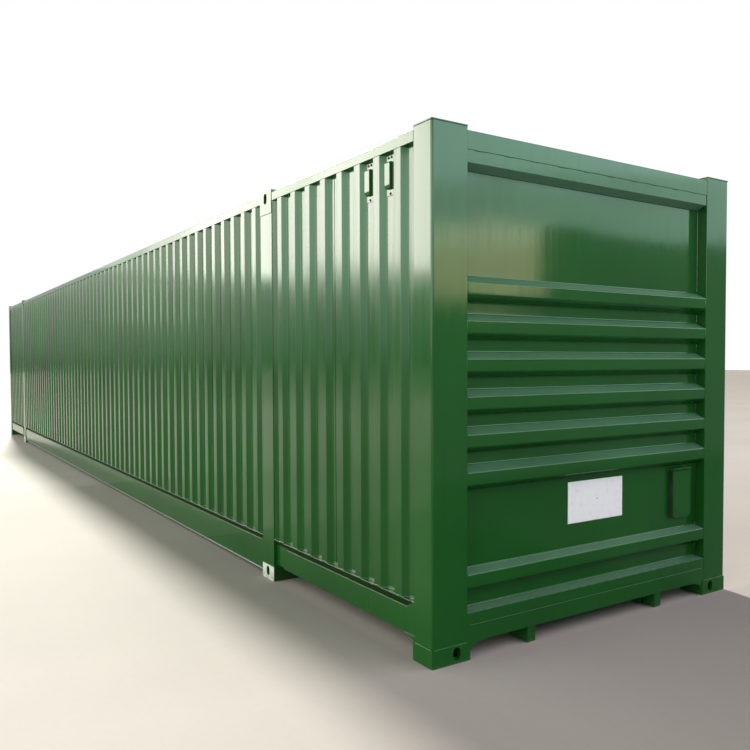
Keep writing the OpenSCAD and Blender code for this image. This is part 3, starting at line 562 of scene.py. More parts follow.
def galvanised(name):
    """Hot-dip zinc with its spangle, dull streaks and a slight white bloom."""
    s = Shader(name)
    cells = s.add("ShaderNodeTexVoronoi", {"Vector": s.place, "Scale": 95.0}).outputs["Color"]
    spangle = s.add("ShaderNodeSeparateColor", {0: cells}).outputs[0]
    bloom = s.noise(17, 5, 0.6)
    tone = s.mix(spangle, (0.38, 0.40, 0.41, 1), (0.56, 0.58, 0.585, 1))
    tone = s.mix(s.between(bloom, 0.5, 0.75, 0, 0.6), tone, (0.62, 0.63, 0.62, 1))
    rough = s.math("ADD", s.between(spangle, 0, 1, 0.30, 0.48), s.between(bloom, 0.5, 0.75, 0, 0.2))
    normal = s.bump(s.noise(140, 3), 0.0001)
    return s.finish({"Base Color": tone, "Metallic": 0.9, "Roughness": rough, "Normal": normal})


def seal_rubber(name):
    """Matt black rubber with a fine grain and grey dust in it."""
    s = Shader(name)
    grain = s.noise(240, 3)
    dust = s.noise(11, 5, 0.6)
    tone = s.mix(s.between(dust, 0.45, 0.8, 0, 0.5), (0.012, 0.012, 0.013, 1), (0.055, 0.052, 0.047, 1))
    rough = s.between(dust, 0.2, 0.8, 0.55, 0.8)
    return s.finish({"Base Color": tone, "Roughness": rough, "Normal": s.bump(grain, 0.0001)})


def plywood(name):
    """Sealed plywood boards laid across, with grain along each sheet and dark joints between them."""
    s = Shader(name)
    grain = s.noise(6, 8, 0.65, stretch=(1, 14, 14))
    figure = s.noise(1.7, 4, 0.6, stretch=(1, 5, 5))
    tone = s.mix(s.between(figure, 0.3, 0.7), (0.21, 0.105, 0.048, 1), (0.33, 0.18, 0.085, 1))
    tone = s.mix(s.between(grain, 0.45, 0.75, 0, 0.6), tone, (0.10, 0.05, 0.025, 1))
    wave = {"Vector": s.place, "Scale": 1.302, "Distortion": 0.0}
    joint = s.add("ShaderNodeTexWave", wave, bands_direction="X", wave_profile="SAW").outputs[0]
    line = s.between(joint, 0.985, 0.995)
    tone = s.mix(line, tone, (0.02, 0.014, 0.01, 1))
    rough = s.between(grain, 0.3, 0.8, 0.38, 0.62)
    return s.finish({"Base Color": tone, "Roughness": rough, "Normal": s.bump(grain, 0.0004)})


def undercoat(name):
    """Dark waxy coat of the underside, uneven and dusty, also used for the plate of painted shadow on the document box.
    """
    s = Shader(name)
    lumps = s.noise(48, 5, 0.6)
    dust = s.noise(5, 5, 0.6)
    tone = s.mix(s.between(dust, 0.4, 0.8, 0, 0.45), (0.014, 0.017, 0.014, 1), (0.085, 0.08, 0.068, 1))
    rough = s.between(lumps, 0.2, 0.8, 0.45, 0.75)
    return s.finish({"Base Color": tone, "Roughness": rough, "Normal": s.bump(lumps, 0.0008)})


def placard_enamel(name):
    """Blank white plate with a satin coat, faint streaks and a little grime in patches."""
    s = Shader(name)
    streak = s.noise(1.0, 4, 0.6, stretch=(1, 60, 3))
    grime = s.noise(26, 5, 0.6)
    tone = s.mix(s.between(streak, 0.4, 0.8, 0, 0.25), (0.90, 0.90, 0.92, 1), (0.74, 0.74, 0.78, 1))
    tone = s.mix(s.between(grime, 0.62, 0.80, 0, 0.35), tone, (0.34, 0.32, 0.33, 1))
    rough = s.between(grime, 0.2, 0.8, 0.22, 0.40)
    return s.finish({"Base Color": tone, "Roughness": rough, "Normal": s.bump(s.noise(6, 2), 0.0004)})


def dark_steel(name):
    """Oiled dark steel of bolts and screws."""
    s = Shader(name)
    wear = s.noise(130, 4, 0.6)
    tone = s.mix(s.between(wear, 0.4, 0.7), (0.010, 0.012, 0.012, 1), (0.045, 0.045, 0.042, 1))
    rough = s.between(wear, 0.2, 0.8, 0.3, 0.55)
    return s.finish({"Base Color": tone, "Metallic": 0.4, "Roughness": rough, "Normal": s.bump(wear, 0.0001)})


def floor_surface(name, tone):
    """Plain pale ground with a faint grain."""
    s = Shader(name)
    cloud = s.noise(0.35, 4, 0.55)
    grain = s.noise(22, 5, 0.6)
    colour = s.mix(s.between(cloud, 0.3, 0.7), shade(tone, 0.95), shade(tone, 1.04))
    colour = s.mix(s.between(grain, 0.4, 0.8, 0, 0.10), colour, shade(tone, 0.72))
    return s.finish({"Base Color": colour, "Roughness": 0.75, "Normal": s.bump(grain, 0.0008)})


def finishes():
    """Every material by name, made once."""
    known = bpy.data.materials
    if "green enamel" not in known:
        paint = bpy.context.scene.container_paint
        green = tuple(paint.green)
        enamel("green enamel", green, paint.gloss, paint.dust)
        enamel("green sheet enamel", green, paint.gloss * 1.5, paint.dust, wave=0.0006)
        # The panel enamel paints sky light on faces that lean up.
        enamel("green panel enamel", green, paint.gloss, paint.dust, wave=0.0022, painted_sky_light=0.34)
        # The rail enamel paints shade into the groove behind the lips.
        enamel("green rail enamel", green, paint.gloss, paint.dust, groove=True)
        enamel("green roof enamel", green, paint.gloss, paint.dust * 4, wave=0.0008)
        enamel("green weld enamel", green, paint.gloss * 1.6, paint.dust, wave=0.0004)
        chipped_enamel("white enamel", tuple(paint.white), green)
        galvanised("galvanised steel")
        seal_rubber("seal rubber")
        plywood("plywood")
        undercoat("underside coating and painted shadow")
        placard_enamel("placard enamel")
        dark_steel("dark steel")
    return known


# Places


def box(node):
    """Lowest and highest corner of a CAD node, as arrays."""
    low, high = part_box(node)
    return np.array(low), np.array(high)


def mesh_corners(node):
    """Corners of a CAD node's mesh as an array."""
    mesh = NODES[node].data
    places = np.empty(3 * len(mesh.vertices), dtype=np.float32)
    mesh.vertices.foreach_get("co", places)
    return places.reshape(-1, 3)


def side_profile(x0, x1, first, count, wall, framed):
    """Path of a side wall in X and Y from x0 to x1, with count ridges from the place of the first.

    It starts, and where framed also ends, with a slope from the face of the stacking frame.
    """
    sheets = bpy.context.scene.container_sheets
    starts = first + np.arange(count) * sheets.side_pitch
    run, face = sheets.side_slope, sheets.side_face
    low = wall - sheets.side_depth
    x = starts[:, None] + np.array([-run, 0, face, face + run])
    y = np.broadcast_to([low, wall, wall, low], x.shape)
    path = np.stack([x.ravel(), y.ravel()], axis=1)
    start = [[x0, wall - 0.001], [x0 + run, low]]
    end = [[x1 - run, low], [x1, wall - 0.001]] if framed else [[x1, low]]
    return np.vstack([start, path, end])


def side_sheet(node, end, side):
    """Grid of a corrugated side wall over its node: the bent path along X, carried up along Z.

    y = path(x) + uneven(x, z), which fades to nothing at the welded edges.
    """
    sheets = bpy.context.scene.container_sheets
    low, high = box(node)
    wall = max(abs(low[1]), abs(high[1]))
    x0, x1 = (low[0], high[0]) if end >= 0 else (-high[0], -low[0])
    if end == 0:
        count = sheets.middle_ridges
        first = (x0 + x1 - (count - 1) * sheets.side_pitch - sheets.side_face) / 2
        steps, rise = 2, 0.115
    else:
        count = sheets.end_ridges
        first = x0 + sheets.end_lead
        steps, rise = 4, 0.06
    path = rounded(side_profile(x0, x1, first, count, wall, end == 0), sheets.bend, steps)
    path = densified(path, 0.045)
    z = np.linspace(low[2], high[2], int((high[2] - low[2]) / rise) + 1)
    x, height = np.meshgrid(path[:, 0], z)
    wave = uneven(x + side * 3.1, height, sheets.wave) * held(height, low[2], high[2]) * held(x, x0, x1, 0.08)
    y = np.minimum(path[:, 1][None] + wave, wall + 0.001)
    points = points_at(x * (1 if end >= 0 else -1), y * side, height)
    return facing(points, (0, side, 0)), path, first, wall


def side_welds(node, end, side, path, first, wall):
    """Weld beads of a side wall: along its foot, up its two ends and over the joints between its panels."""
    sheets = bpy.context.scene.container_sheets
    low, high = box(node)
    flip = 1 if end >= 0 else -1
    line = densified(path, 0.02)
    foot = points_at(line[:, 0] * flip, (line[:, 1] - 0.0018) * side, low[2] + 0.002)
    z = np.arange(low[2] + 0.004, high[2], 0.018)
    trough = (wall - sheets.side_depth + 0.002) * side
    face = (wall - 0.002) * side
    x0, x1 = path[0, 0] * flip, path[-1, 0] * flip
    edges = ((x0, face), (x1 - 0.002 * np.sign(x1), face if end == 0 else trough))
    count, every = (sheets.middle_ridges, 5) if end == 0 else (sheets.end_ridges, 4)
    joints = first + np.arange(every, count - 1, every) * sheets.side_pitch - sheets.side_pitch * 0.34
    beads = [bead(foot, 0.0054, UP)]
    beads += [bead(points_at(x, y, z), 0.0042, ACROSS, 5) for x, y in edges]
    beads += [bead(points_at(x * flip, trough - 0.0016 * side, z), 0.0026, ACROSS, 5, 0.2) for x in joints]
    return beads


class OBJECT_OT_container_sides(Operator):
    """Builds the six corrugated side walls with their foot, edge and joint welds."""

    bl_idname = "object.container_sides"
    bl_label = "Side Walls"

    def execute(self, context):
        thickness = context.scene.container_sheets.sheet
        for side_name, side in SIDES.items():
            for bay, end in BAYS.items():
                node = f"side_wall_{side_name}_{bay}"
                points, *places = side_sheet(node, end, side)
                build("sheet_" + node, [points], "green sheet enamel", (node,), thickness=thickness)
                build("weld_" + node, side_welds(node, end, side, *places), "green weld enamel", wrapped=True)
        return {"FINISHED"}


def front_profile(low, high):
    """Path of the front wall in X and Z over its node's box, from the sill up to the header."""
    s = bpy.context.scene.container_sheets
    ridge = high[0]
    flat = ridge - s.front_depth
    path = [
        [ridge, low[2] + 0.002],
        [flat, low[2] + 0.016],
        [flat, s.low_ridge - s.front_slope],
        [ridge, s.low_ridge],
        [ridge, s.low_ridge + s.low_face],
        [flat, s.low_ridge + s.low_face + s.low_shoulder],
    ]
    z = s.front_low + np.arange(s.front_ridges)[:, None] * s.front_pitch
    z = z + np.array([-s.front_slope, 0, s.front_face, s.front_face + s.front_slope])
    x = np.broadcast_to([flat, ridge, ridge, flat], z.shape)
    path += np.stack([x.ravel(), z.ravel()], axis=1).tolist()
    return path + [[flat, high[2] - 0.025], [ridge - 0.003, high[2]]]


def front_welds(low, high, path):
    """Weld beads up the front wall's two edges and along its sill, and stitches under the header."""
    line = densified(path, 0.018)
    edges = (low[1] + 0.002, high[1] - 0.002)
    beads = [bead(points_at(line[:, 0] - 0.001, y, line[:, 1]), 0.0045, ACROSS) for y in edges]
    header = box("front_header")[1][0]
    sill = box("front_sill")[1]
    y = np.arange(low[1] + 0.01, high[1], 0.014)
    beads.append(bead(points_at(sill[0] - 0.0005, y, SILL_FOLD), 0.0032, UP))
    beads.append(bead(points_at(sill[0] - 0.003, y, sill[2] - 0.001), 0.004, UP))
    for start in np.arange(low[1] + 0.05, high[1] - 0.1, STITCH_PITCH):
        y = np.arange(start, start + STITCH_LENGTH, 0.008)
        beads.append(bead(points_at(header - 0.003, y, HEADER_SEAM), 0.0034, UP))
    return beads


class OBJECT_OT_container_front(Operator):
    """Builds the front wall with its horizontal ridges, and the welds around it.

    x = profile(z) + uneven(y, z), which fades to nothing at the welded edges.
    """

    bl_idname = "object.container_front"
    bl_label = "Front Wall"

    def execute(self, context):
        sheets = context.scene.container_sheets
        low, high = box("front_wall")
        path = densified(rounded(front_profile(low, high), sheets.bend * 1.2, 5), 0.045)
        y, x = np.meshgrid(np.linspace(low[1], high[1], 47), path[:, 0])
        z = path[:, 1][:, None]
        wave = uneven(y + 4.0, z, sheets.wave * 2.2) * held(y, low[1], high[1]) * held(z, low[2], high[2], 0.1)
        points = facing(points_at(np.minimum(x + wave, high[0] + 0.001), y, z), ALONG)
        build("sheet_front_wall", [points], "green panel enamel", ("front_wall",), thickness=sheets.sheet)
        build("weld_front", front_welds(low, high, path), "green weld enamel", wrapped=True)
        return {"FINISHED"}


def roof_bays(end, gap=0.0):
    """Ends of the three lengths of roof edge between the upper fittings, with a gap next to each fitting."""
    low, high = box("stacking_post_front_left")
    near, far = low[0] - 0.003 - gap, high[0] + 0.003 + gap
    return (-end, -far), (-near, near), (far, end)


def roof_path(end, top):
    """Path of the roof sheet in X and Z, from end to end, with its troughs spread evenly about the middle."""
    s = bpy.context.scene.container_sheets
    count = int((2 * end - s.roof_pitch / 2) / s.roof_pitch)
    middle = (np.arange(count) - (count - 1) / 2) * s.roof_pitch
    half = s.roof_trough / 2
    x = middle[:, None] + np.array([-half - s.roof_slope, -half, half, half + s.roof_slope])
    z = np.broadcast_to([top, top - s.roof_depth, top - s.roof_depth, top], x.shape)
    profile = np.vstack([[-end, top], np.stack([x.ravel(), z.ravel()], axis=1), [end, top]])
    return densified(rounded(profile, s.bend, 3), 0.05)


def roof_edges(end, inner, outer, top):
    """Flat edges beside the roof's troughs: a bent strip carried along X in each bay, on both sides."""
    depth = bpy.context.scene.container_sheets.roof_depth
    strip = [
        [outer, top - 0.0025], [outer - 0.001, top], [inner + 0.002, top],
        [inner, top - 0.003], [inner - 0.001, top - depth - 0.001],
    ]
    strip = rounded(strip, 0.001, 2)
    edges = []
    for x0, x1 in roof_bays(end):
        run = np.linspace(x0, x1, max(3, int((x1 - x0) / 0.3)))[:, None]
        edges += [facing(points_at(run, strip[:, 0] * side, strip[:, 1]), UP) for side in SIDES.values()]
    return edges


def roof_welds(end, inner, outer, top, path):
    """Weld beads along the roof's outer edges, beside its troughs and across its two ends."""
    beads = []
    for side in SIDES.values():
        for x0, x1 in roof_bays(end, 0.01):
            run = np.arange(x0, x1, 0.02)
            line = densified(path[(path[:, 0] > x0) & (path[:, 0] < x1)], 0.03)
            trough = points_at(line[:, 0], (inner - 0.0015) * side, line[:, 1] + 0.001)
            beads.append(bead(points_at(run, (outer + 0.001) * side, top - 0.002), 0.0028, UP, 5, 0.15))
            beads.append(bead(trough, 0.003, ACROSS, 5, 0.15))
    y = np.arange(-inner, inner, 0.02)
    return beads + [bead(points_at(x, y, top - 0.0005), 0.003, UP, 5, 0.15) for x in (-end, end)]


class OBJECT_OT_container_roof(Operator):
    """Builds the corrugated roof sheet with its side edges and seams.

    z = path(x) + uneven(x, y) - camber (1 - (y / half width)^2), which fades to nothing at the welded edges.
    """

    bl_idname = "object.container_roof"
    bl_label = "Roof"

    def execute(self, context):
        sheets = context.scene.container_sheets
        (_, _, _), (end, outer, top) = box("roof_sheet")
        inner = box("top_rail_left")[0][1] - 0.004
        path = roof_path(end, top)
        x, y = np.meshgrid(path[:, 0], np.linspace(-inner, inner, 33))
        camber = 0.004 * (1 - (y / inner) ** 2)
        wave = uneven(x * 0.7, y * 1.6, sheets.wave * 1.6) - sheets.wave * 1.6
        wave = (wave - camber) * held(y, -inner, inner) * held(x, -end, end)
        sheet = facing(points_at(x, y, path[:, 1] + wave), UP)
        build("sheet_roof", [sheet], "green roof enamel", thickness=sheets.sheet)
        edges = roof_edges(end, inner, outer, top)
        build("edge_roof", edges, "green roof enamel", ("roof_sheet",), thickness=sheets.sheet)
        build("weld_roof", roof_welds(end, inner, outer, top, path), "green weld enamel", wrapped=True)
        return {"FINISHED"}


STEELWORK = {
    "front_post_right": 0.003,
    "front_post_left": 0.003,
    "rear_post_right": 0.003,
    "rear_post_left": 0.003,
    "stacking_post_front_right": 0.005,
    "stacking_post_front_left": 0.005,
    "stacking_post_rear_right": 0.005,
    "stacking_post_rear_left": 0.005,
    "end_fittings": 0.004,
    "post_caps": 0.0004,
    "upper_stacking_fittings": 0.005,
    "front_header": 0.004,
    "front_sill": 0.006,
    "fitting_gussets": 0.0015,
    "top_rail_right": 0.005,
    "top_rail_left": 0.005,
    "bottom_rail_right": 0.004,
    "bottom_rail_left": 0.004,
    "end_bay_rails_right": 0.004,
    "end_bay_rails_left": 0.004,
    "roof_end_plates": 0.001,
    "rear_header": 0.003,
    "rear_sill": 0.004,
    "door_right": 0.002,
    "door_left": 0.002,
    "rod_brackets": 0.0015,
    "handle_catches": 0.003,
    "door_hinges": 0.002,
}


class OBJECT_OT_container_steelwork(Operator):
    """Rounds the edges of the posts, rails, beams, fittings and door leaves, and paints them."""

    bl_idname = "object.container_steelwork"
    bl_label = "Steelwork"

    def execute(self, context):
        for node, width in STEELWORK.items():
            lipped = "bottom_rail" in node or "bay_rails" in node
            paint = "green rail enamel" if lipped else "green enamel"
            softened(node, width, paint, 3 if "fittings" in node else 2)
        softened("lower_stacking_fittings", 0.005, "white enamel", 3)
        return {"FINISHED"}


def post_seams():
    """Welds where the posts stand on their fittings and the stacking posts carry their upper fittings."""
    z = box("end_fittings")[1][2] + 0.001
    beads = []
    for end_name, end in ENDS.items():
        for side_name, side in SIDES.items():
            low, high = box(f"{end_name}_post_{side_name}")
            outer, back = (high[0], low[0]) if end > 0 else (low[0], high[0])
            face, inner = (high[1], low[1]) if side > 0 else (low[1], high[1])
            x = np.array([back, outer - 0.012 * end, outer, outer]) - 0.0022 * end
            y = np.array([face, face, face - 0.012 * side, inner]) - 0.0022 * side
            beads.append(seam(points_at(x, y, z), 0.0045))
    for end in ENDS:
        for side in SIDES:
            low, high = box(f"stacking_post_{end}_{side}")
            face = high[1] if low[1] > 0 else low[1]
            for z in (low[2] + 0.001, high[2] - 0.001):
                beads.append(seam([[low[0] + 0.004, face, z], [high[0] - 0.004, face, z]], 0.0025))
    return beads


def rail_edges():
    """Rolled edges along the lips of the bottom rails, as a bent strip carried along X."""
    strip = np.array([[0.0004, -0.011], [0.0012, -0.008], [-0.0016, 0.0012], [-0.0035, 0.0010]])
    strip = rounded(strip + [LIP_FACE, LIP_HEIGHT], 0.002, 2)
    edges = []
    for rail in ("bottom_rail", "end_bay_rails"):
        for name, side in SIDES.items():
            place = mesh_corners(f"{rail}_{name}")
            on_lip = np.abs(np.abs(place[:, 1]) - LIP_FACE) < 2e-4
            on_lip &= np.abs(place[:, 2] - LIP_HEIGHT) < 2e-4
            ends = np.unique(place[on_lip, 0].round(3))
            for x0, x1 in zip(ends[::2], ends[1::2]):
                run = np.linspace(x0 + 0.002, x1 - 0.002, max(4, int((x1 - x0) / 0.4)))[:, None]
                edges.append(facing(points_at(run, strip[:, 0] * side, strip[:, 1]), (0, side, 0.3)))
    return edges


class OBJECT_OT_container_welds(Operator):
    """Lays the weld beads between the posts, fittings and rails, and the rolled edges of the bottom rails."""

    bl_idname = "object.container_welds"
    bl_label = "Frame Welds"

    def execute(self, context):
        build("weld_posts", post_seams(), "green weld enamel", wrapped=True)
        build("edge_bottom_rails", rail_edges(), "green enamel", thickness=0.0008)
        return {"FINISHED"}


class OBJECT_OT_container_vents(Operator):
    """Rounds the vents' hoods and adds their screws."""

    bl_idname = "object.container_vents"
    bl_label = "Vents"

    def execute(self, context):
        sheets = context.scene.container_sheets
        softened("vents", 0.002)
        low, high = box("vents")
        first = box("side_wall_right_front")[0][0] + sheets.end_lead
        middle = first + sheets.side_face + (sheets.side_pitch - sheets.side_face) / 2
        trough = box("side_wall_left_front")[1][1] - sheets.side_depth
        top, foot = high[2] - 0.012, low[2] + 0.012
        heads = []
        for ridge in (sheets.end_ridges - 3, sheets.end_ridges - 2):
            x = middle + ridge * sheets.side_pitch
            for side in SIDES.values():
                y = (trough + 0.003) * side
                screws = ((x - 0.015, y, top), (x + 0.015, y, top), (x + 0.004, y, foot))
                heads += [bolt_head(screw, (0, side, 0), 0.0055, 0.006) for screw in screws]
        build("screws_vents", heads, "dark steel", wrapped=True)
        return {"FINISHED"}


def document_box_trim(flat):
    """Flange, rivet, dark plate of painted shadow on the near flank and beaded rim of the document box, which stands on
    the wall's flat.
    """
    (_, y0, z0), (face, y1, z1) = box("document_box")
    flange = np.array([[-0.004, -0.016], [0.004, -0.014], [0.005, -0.002], [-0.002, -0.0005]])
    flange = rounded(flange + [face, z1], 0.002, 2)
    grid = points_at(flange[:, 0], np.linspace(y0 + 0.004, y1 - 0.004, 8)[:, None], flange[:, 1])
    build("flange_document_box", [facing(grid, ALONG)], "green enamel", thickness=0.002)
    middle = (face + 0.0045, (y0 + y1) / 2, z1 - 0.008)
    build("rivet_document_box", [bolt_head(middle, ALONG, 0.004, 0.002)], "dark steel", wrapped=True)
    # Painted shadow: a dark plate on the box's near flank stands in for the deep shade there.
    shadow_plate = points_at([flat + 0.004, face - 0.005], y0 - 0.0012, [[z0 + 0.012], [z1 - 0.014]])
    build("mouth_document_box", [facing(shadow_plate, (0, -1, 0))], "underside coating and painted shadow", thickness=0.001)
    y = np.repeat([y0 + 0.010, y1 - 0.010], 2)
    top, foot = z1 - 0.026, z0 + 0.012
    rim = rounded(points_at(face, y, [top, foot, foot, top]), 0.012, 4)
    build("rim_document_box", [tube(rim, 0.002, ALONG)], "green enamel", wrapped=True)


def placard(flat):
    """Blank plate with thin edges on the wall's flat, and the strip above it."""
    (y0, y1), (z0, z1) = PLACARD_ACROSS, PLACARD_HEIGHTS
    outline = densified(rounded([[y0, z0], [y0, z1], [y1, z1], [y1, z0], [y0, z0]], 0.004, 3), 0.05)
    rim = points_at(flat - 0.001, outline[:, 0], outline[:, 1])
    face = rim + [PLACARD_THICKNESS + 0.001, 0, 0]
    middle = face.mean(axis=0)
    inner = middle + (face - middle) * [1, 0.985, 0.97]
    core = middle + (face - middle) * [1, 0.02, 0.02]
    build("placard_plate", [facing(np.stack([rim, face, inner, core]), ALONG)], "placard enamel")
    strip = np.array([[-0.001, 0.012], [0.011, 0.009], [0.013, 0.005], [0.012, 0], [-0.001, 0]])
    strip = rounded(strip + [flat, STRIP_FOOT], 0.001, 2)
    grid = points_at(strip[:, 0], np.linspace(*STRIP_ACROSS, 12)[:, None], strip[:, 1])
    build("placard_strip", [facing(grid, ALONG)], "green enamel", thickness=0.001)


class OBJECT_OT_container_placard(Operator):
    """Builds the document box's finish and the blank placard under its strip."""

    bl_idname = "object.container_placard"
    bl_label = "Placard and Document Box"

    def execute(self, context):
        softened("document_box", 0.002)
        flat = box("front_wall")[1][0] - context.scene.container_sheets.front_depth
        document_box_trim(flat)
        placard(flat)
        return {"FINISHED"}


def door_bolts():
    """Places of the bolts in the feet of the rods' bearings and in the hinges' blades."""
    face = box("door_left")[0][0]
    feet = mesh_corners("rod_brackets")
    rods = box("lock_rods")[1][1] - 0.022 - np.array([0.0, ROD_SPACING])
    places = []
    for rod in rods:
        on_foot = np.abs(feet[:, 1] - (rod - 0.048)) < 0.001
        heights = np.unique(feet[on_foot, 2].round(4))
        beside = [side * (rod + offset) for side in SIDES.values() for offset in (-0.037, 0.037)]
        places += [(face - 0.005, y, z) for z in (heights[::2] + heights[1::2]) / 2 for y in beside]
    low, high = box("door_hinges")
    inwards = [side * (high[1] - inward) for side in SIDES.values() for inward in (0.160, 0.085)]
    for z in np.linspace(low[2] + 0.067, high[2] - 0.067, 5):
        places += [(face - 0.012, y, z + rise) for y in inwards for rise in (-0.02, 0.02)]
    return places


class OBJECT_OT_container_doors(Operator):
    """Finishes the lock rods, handles and seals, and adds the bolts of the door gear."""

    bl_idname = "object.container_doors"
    bl_label = "Door Gear"

    def execute(self, context):
        softened("lock_rods", 0.0012, "galvanised steel")
        softened("door_handles", 0.002, "galvanised steel")
        softened("door_gaskets", 0.003, "seal rubber")
        bolts = [bolt_head(place, (-1, 0, 0), 0.008, 0.008) for place in door_bolts()]
        build("bolts_doors", bolts, "galvanised steel", wrapped=True)
        return {"FINISHED"}


UNDERSIDE = {"floor_boards": "plywood", "cross_members": "underside coating and painted shadow", "gooseneck_tunnel": "green enamel"}


class OBJECT_OT_container_floor(Operator):
    """Paints the floor boards and the steelwork under them."""

    bl_idname = "object.container_floor"
    bl_label = "Floor and Underside"

    def execute(self, context):
        for node, finish in UNDERSIDE.items():
            materials = NODES[node].data.materials
            materials.clear()
            materials.append(finishes()[finish])
        return {"FINISHED"}


def softbox(name, corner, across, up, brightness, colour):
    """Area light that fills a rectangle from a corner along two sides, and shines along up x across."""
    corner, across, up = Vector(corner), Vector(across), Vector(up)
    light = bpy.data.lights.new(name, "AREA")
    light.shape = "RECTANGLE"
    light.size = across.length
    light.size_y = up.length
    light.energy = brightness * math.pi * across.length * up.length
    light.color = colour
    lamp = bpy.data.objects.new(name, light)
    bpy.context.scene.collection.objects.link(lamp)
    x, y = across.normalized(), up.normalized()
    turn = Matrix((x, y, x.cross(y))).transposed().to_4x4()
    lamp.matrix_world = Matrix.Translation(corner + across / 2 + up / 2) @ turn
    lamp.visible_camera = False
    lamp.visible_glossy = not name.startswith("high")


def back_light(strength, rise):
    """Soft light from far behind the doors, along the container and down at an angle."""
    light = bpy.data.lights.new("back light", "SUN")
    light.energy = strength
    light.angle = math.radians(6)
    light.color = (1.0, 0.96, 0.88)
    lamp = bpy.data.objects.new("back light", light)
    bpy.context.scene.collection.objects.link(lamp)
    lamp.rotation_euler = Vector((-math.cos(rise), 0.105, math.sin(rise))).to_track_quat("Z", "Y").to_euler()


def stage_piece(name, points, tone):
    """Flat piece of the stage over a grid of points."""
    mesh = bpy.data.meshes.new(name)
    mesh.from_pydata(points.reshape(-1, 3).tolist(), [], cells(*points.shape[:2]).tolist())
    mesh.materials.append(floor_surface(name, tone))
    piece = bpy.data.objects.new(name, mesh)
    bpy.context.scene.collection.objects.link(piece)
    return piece


def screen(name, corner, across, up, tone):
    """Plain screen that fills a rectangle, out of the picture, for the paint to mirror.

    Point (i, j) is corner + j across / 2 + i up / 2. A mat is a dark sheet of painted shadow lying on the floor, which
    only the paint's reflections see: it casts no shadow and lights nothing.
    """
    t = np.linspace(0, 1, 3)
    panel = stage_piece(name, corner + t[None, :, None] * np.array(across) + t[:, None, None] * np.array(up), tone)
    panel.visible_camera = False
    # Mats are painted shadow: the paint mirrors them as shaded ground, and they cast no shadow and light nothing.
    panel.visible_shadow = panel.visible_diffuse = not name.endswith("mat")
    return panel


def sky(ambient):
    """Plain white sky for the camera, a dusky horizon for reflections and an even light from all sides."""
    world = bpy.data.worlds.new("plain sky")
    bpy.context.scene.world = world
    world.use_nodes = True
    s = NodeSheet(world.node_tree)
    path = s.add("ShaderNodeLightPath").outputs
    seen = s.math("ADD", path["Is Camera Ray"], path["Is Glossy Ray"], clamp=False)
    seen = s.math("ADD", seen, path["Is Transmission Ray"])
    height = s.part(s.add("ShaderNodeTexCoord").outputs["Generated"], 2)
    rise = {"Value": height, "From Min": 0.0, "From Max": 0.13, "To Min": 0.20, "To Max": 1.0}
    dusk = s.add("ShaderNodeMapRange", rise).outputs[0]
    shown = s.math("MAXIMUM", path["Is Camera Ray"], dusk, clamp=False)
    even = s.add("ShaderNodeBackground", {"Color": (0.92, 0.97, 1.0, 1), "Strength": ambient})
    white = s.add("ShaderNodeBackground", {"Color": (1, 1, 1, 1), "Strength": shown})
    mix = s.add("ShaderNodeMixShader", {0: seen, 1: even.outputs[0], 2: white.outputs[0]})
    s.add("ShaderNodeOutputWorld", {"Surface": mix.outputs[0]})


CAMERA_PLACE = (11.3070, -3.67456, 1.63365)
CAMERA_RIGHT = (0.55487964, 0.83192713, -0.00241585)
CAMERA_UP = (-0.02585493, 0.02014711, 0.99946266)
CAMERA_BACK = (0.83152878, -0.55451902, 0.03268864)

GREY = (0.11, 0.13, 0.14)
# Each screen's and mat's name, corner, side across, side up and tone. The mats are painted shadow on the ground.
SCREENS = (
    ("near screen", (13, -2.5, 0), (0, 6.9, 0), (0, 0, 2.42), GREY),
    ("far screen", (13, 4.4, 0), (0, 19, 0), (0, 0, 3.66), GREY),
    # Painted shadow on the ground in front of the end and beside the right side
    ("front shadow mat", (8.1, -1.7, 0.002), (4.9, 0, 0), (0, 16, 0), (0.05, 0.055, 0.06)),
    ("side shadow mat", (4.4, -14, 0.002), (9, 0, 0), (0, 12.7, 0), (0.12, 0.12, 0.095)),
    ("far shadow mat", (0.6, -14, 0.002), (3.8, 0, 0), (0, 12.7, 0), (0.24, 0.23, 0.19)),
)

WARM, COOL, LEAFY = (1.0, 0.99, 0.87), (0.60, 1.0, 0.96), (0.78, 1.0, 0.70)
PALE, TEAL = (1.0, 1.0, 0.86), (0.62, 1.0, 0.78)
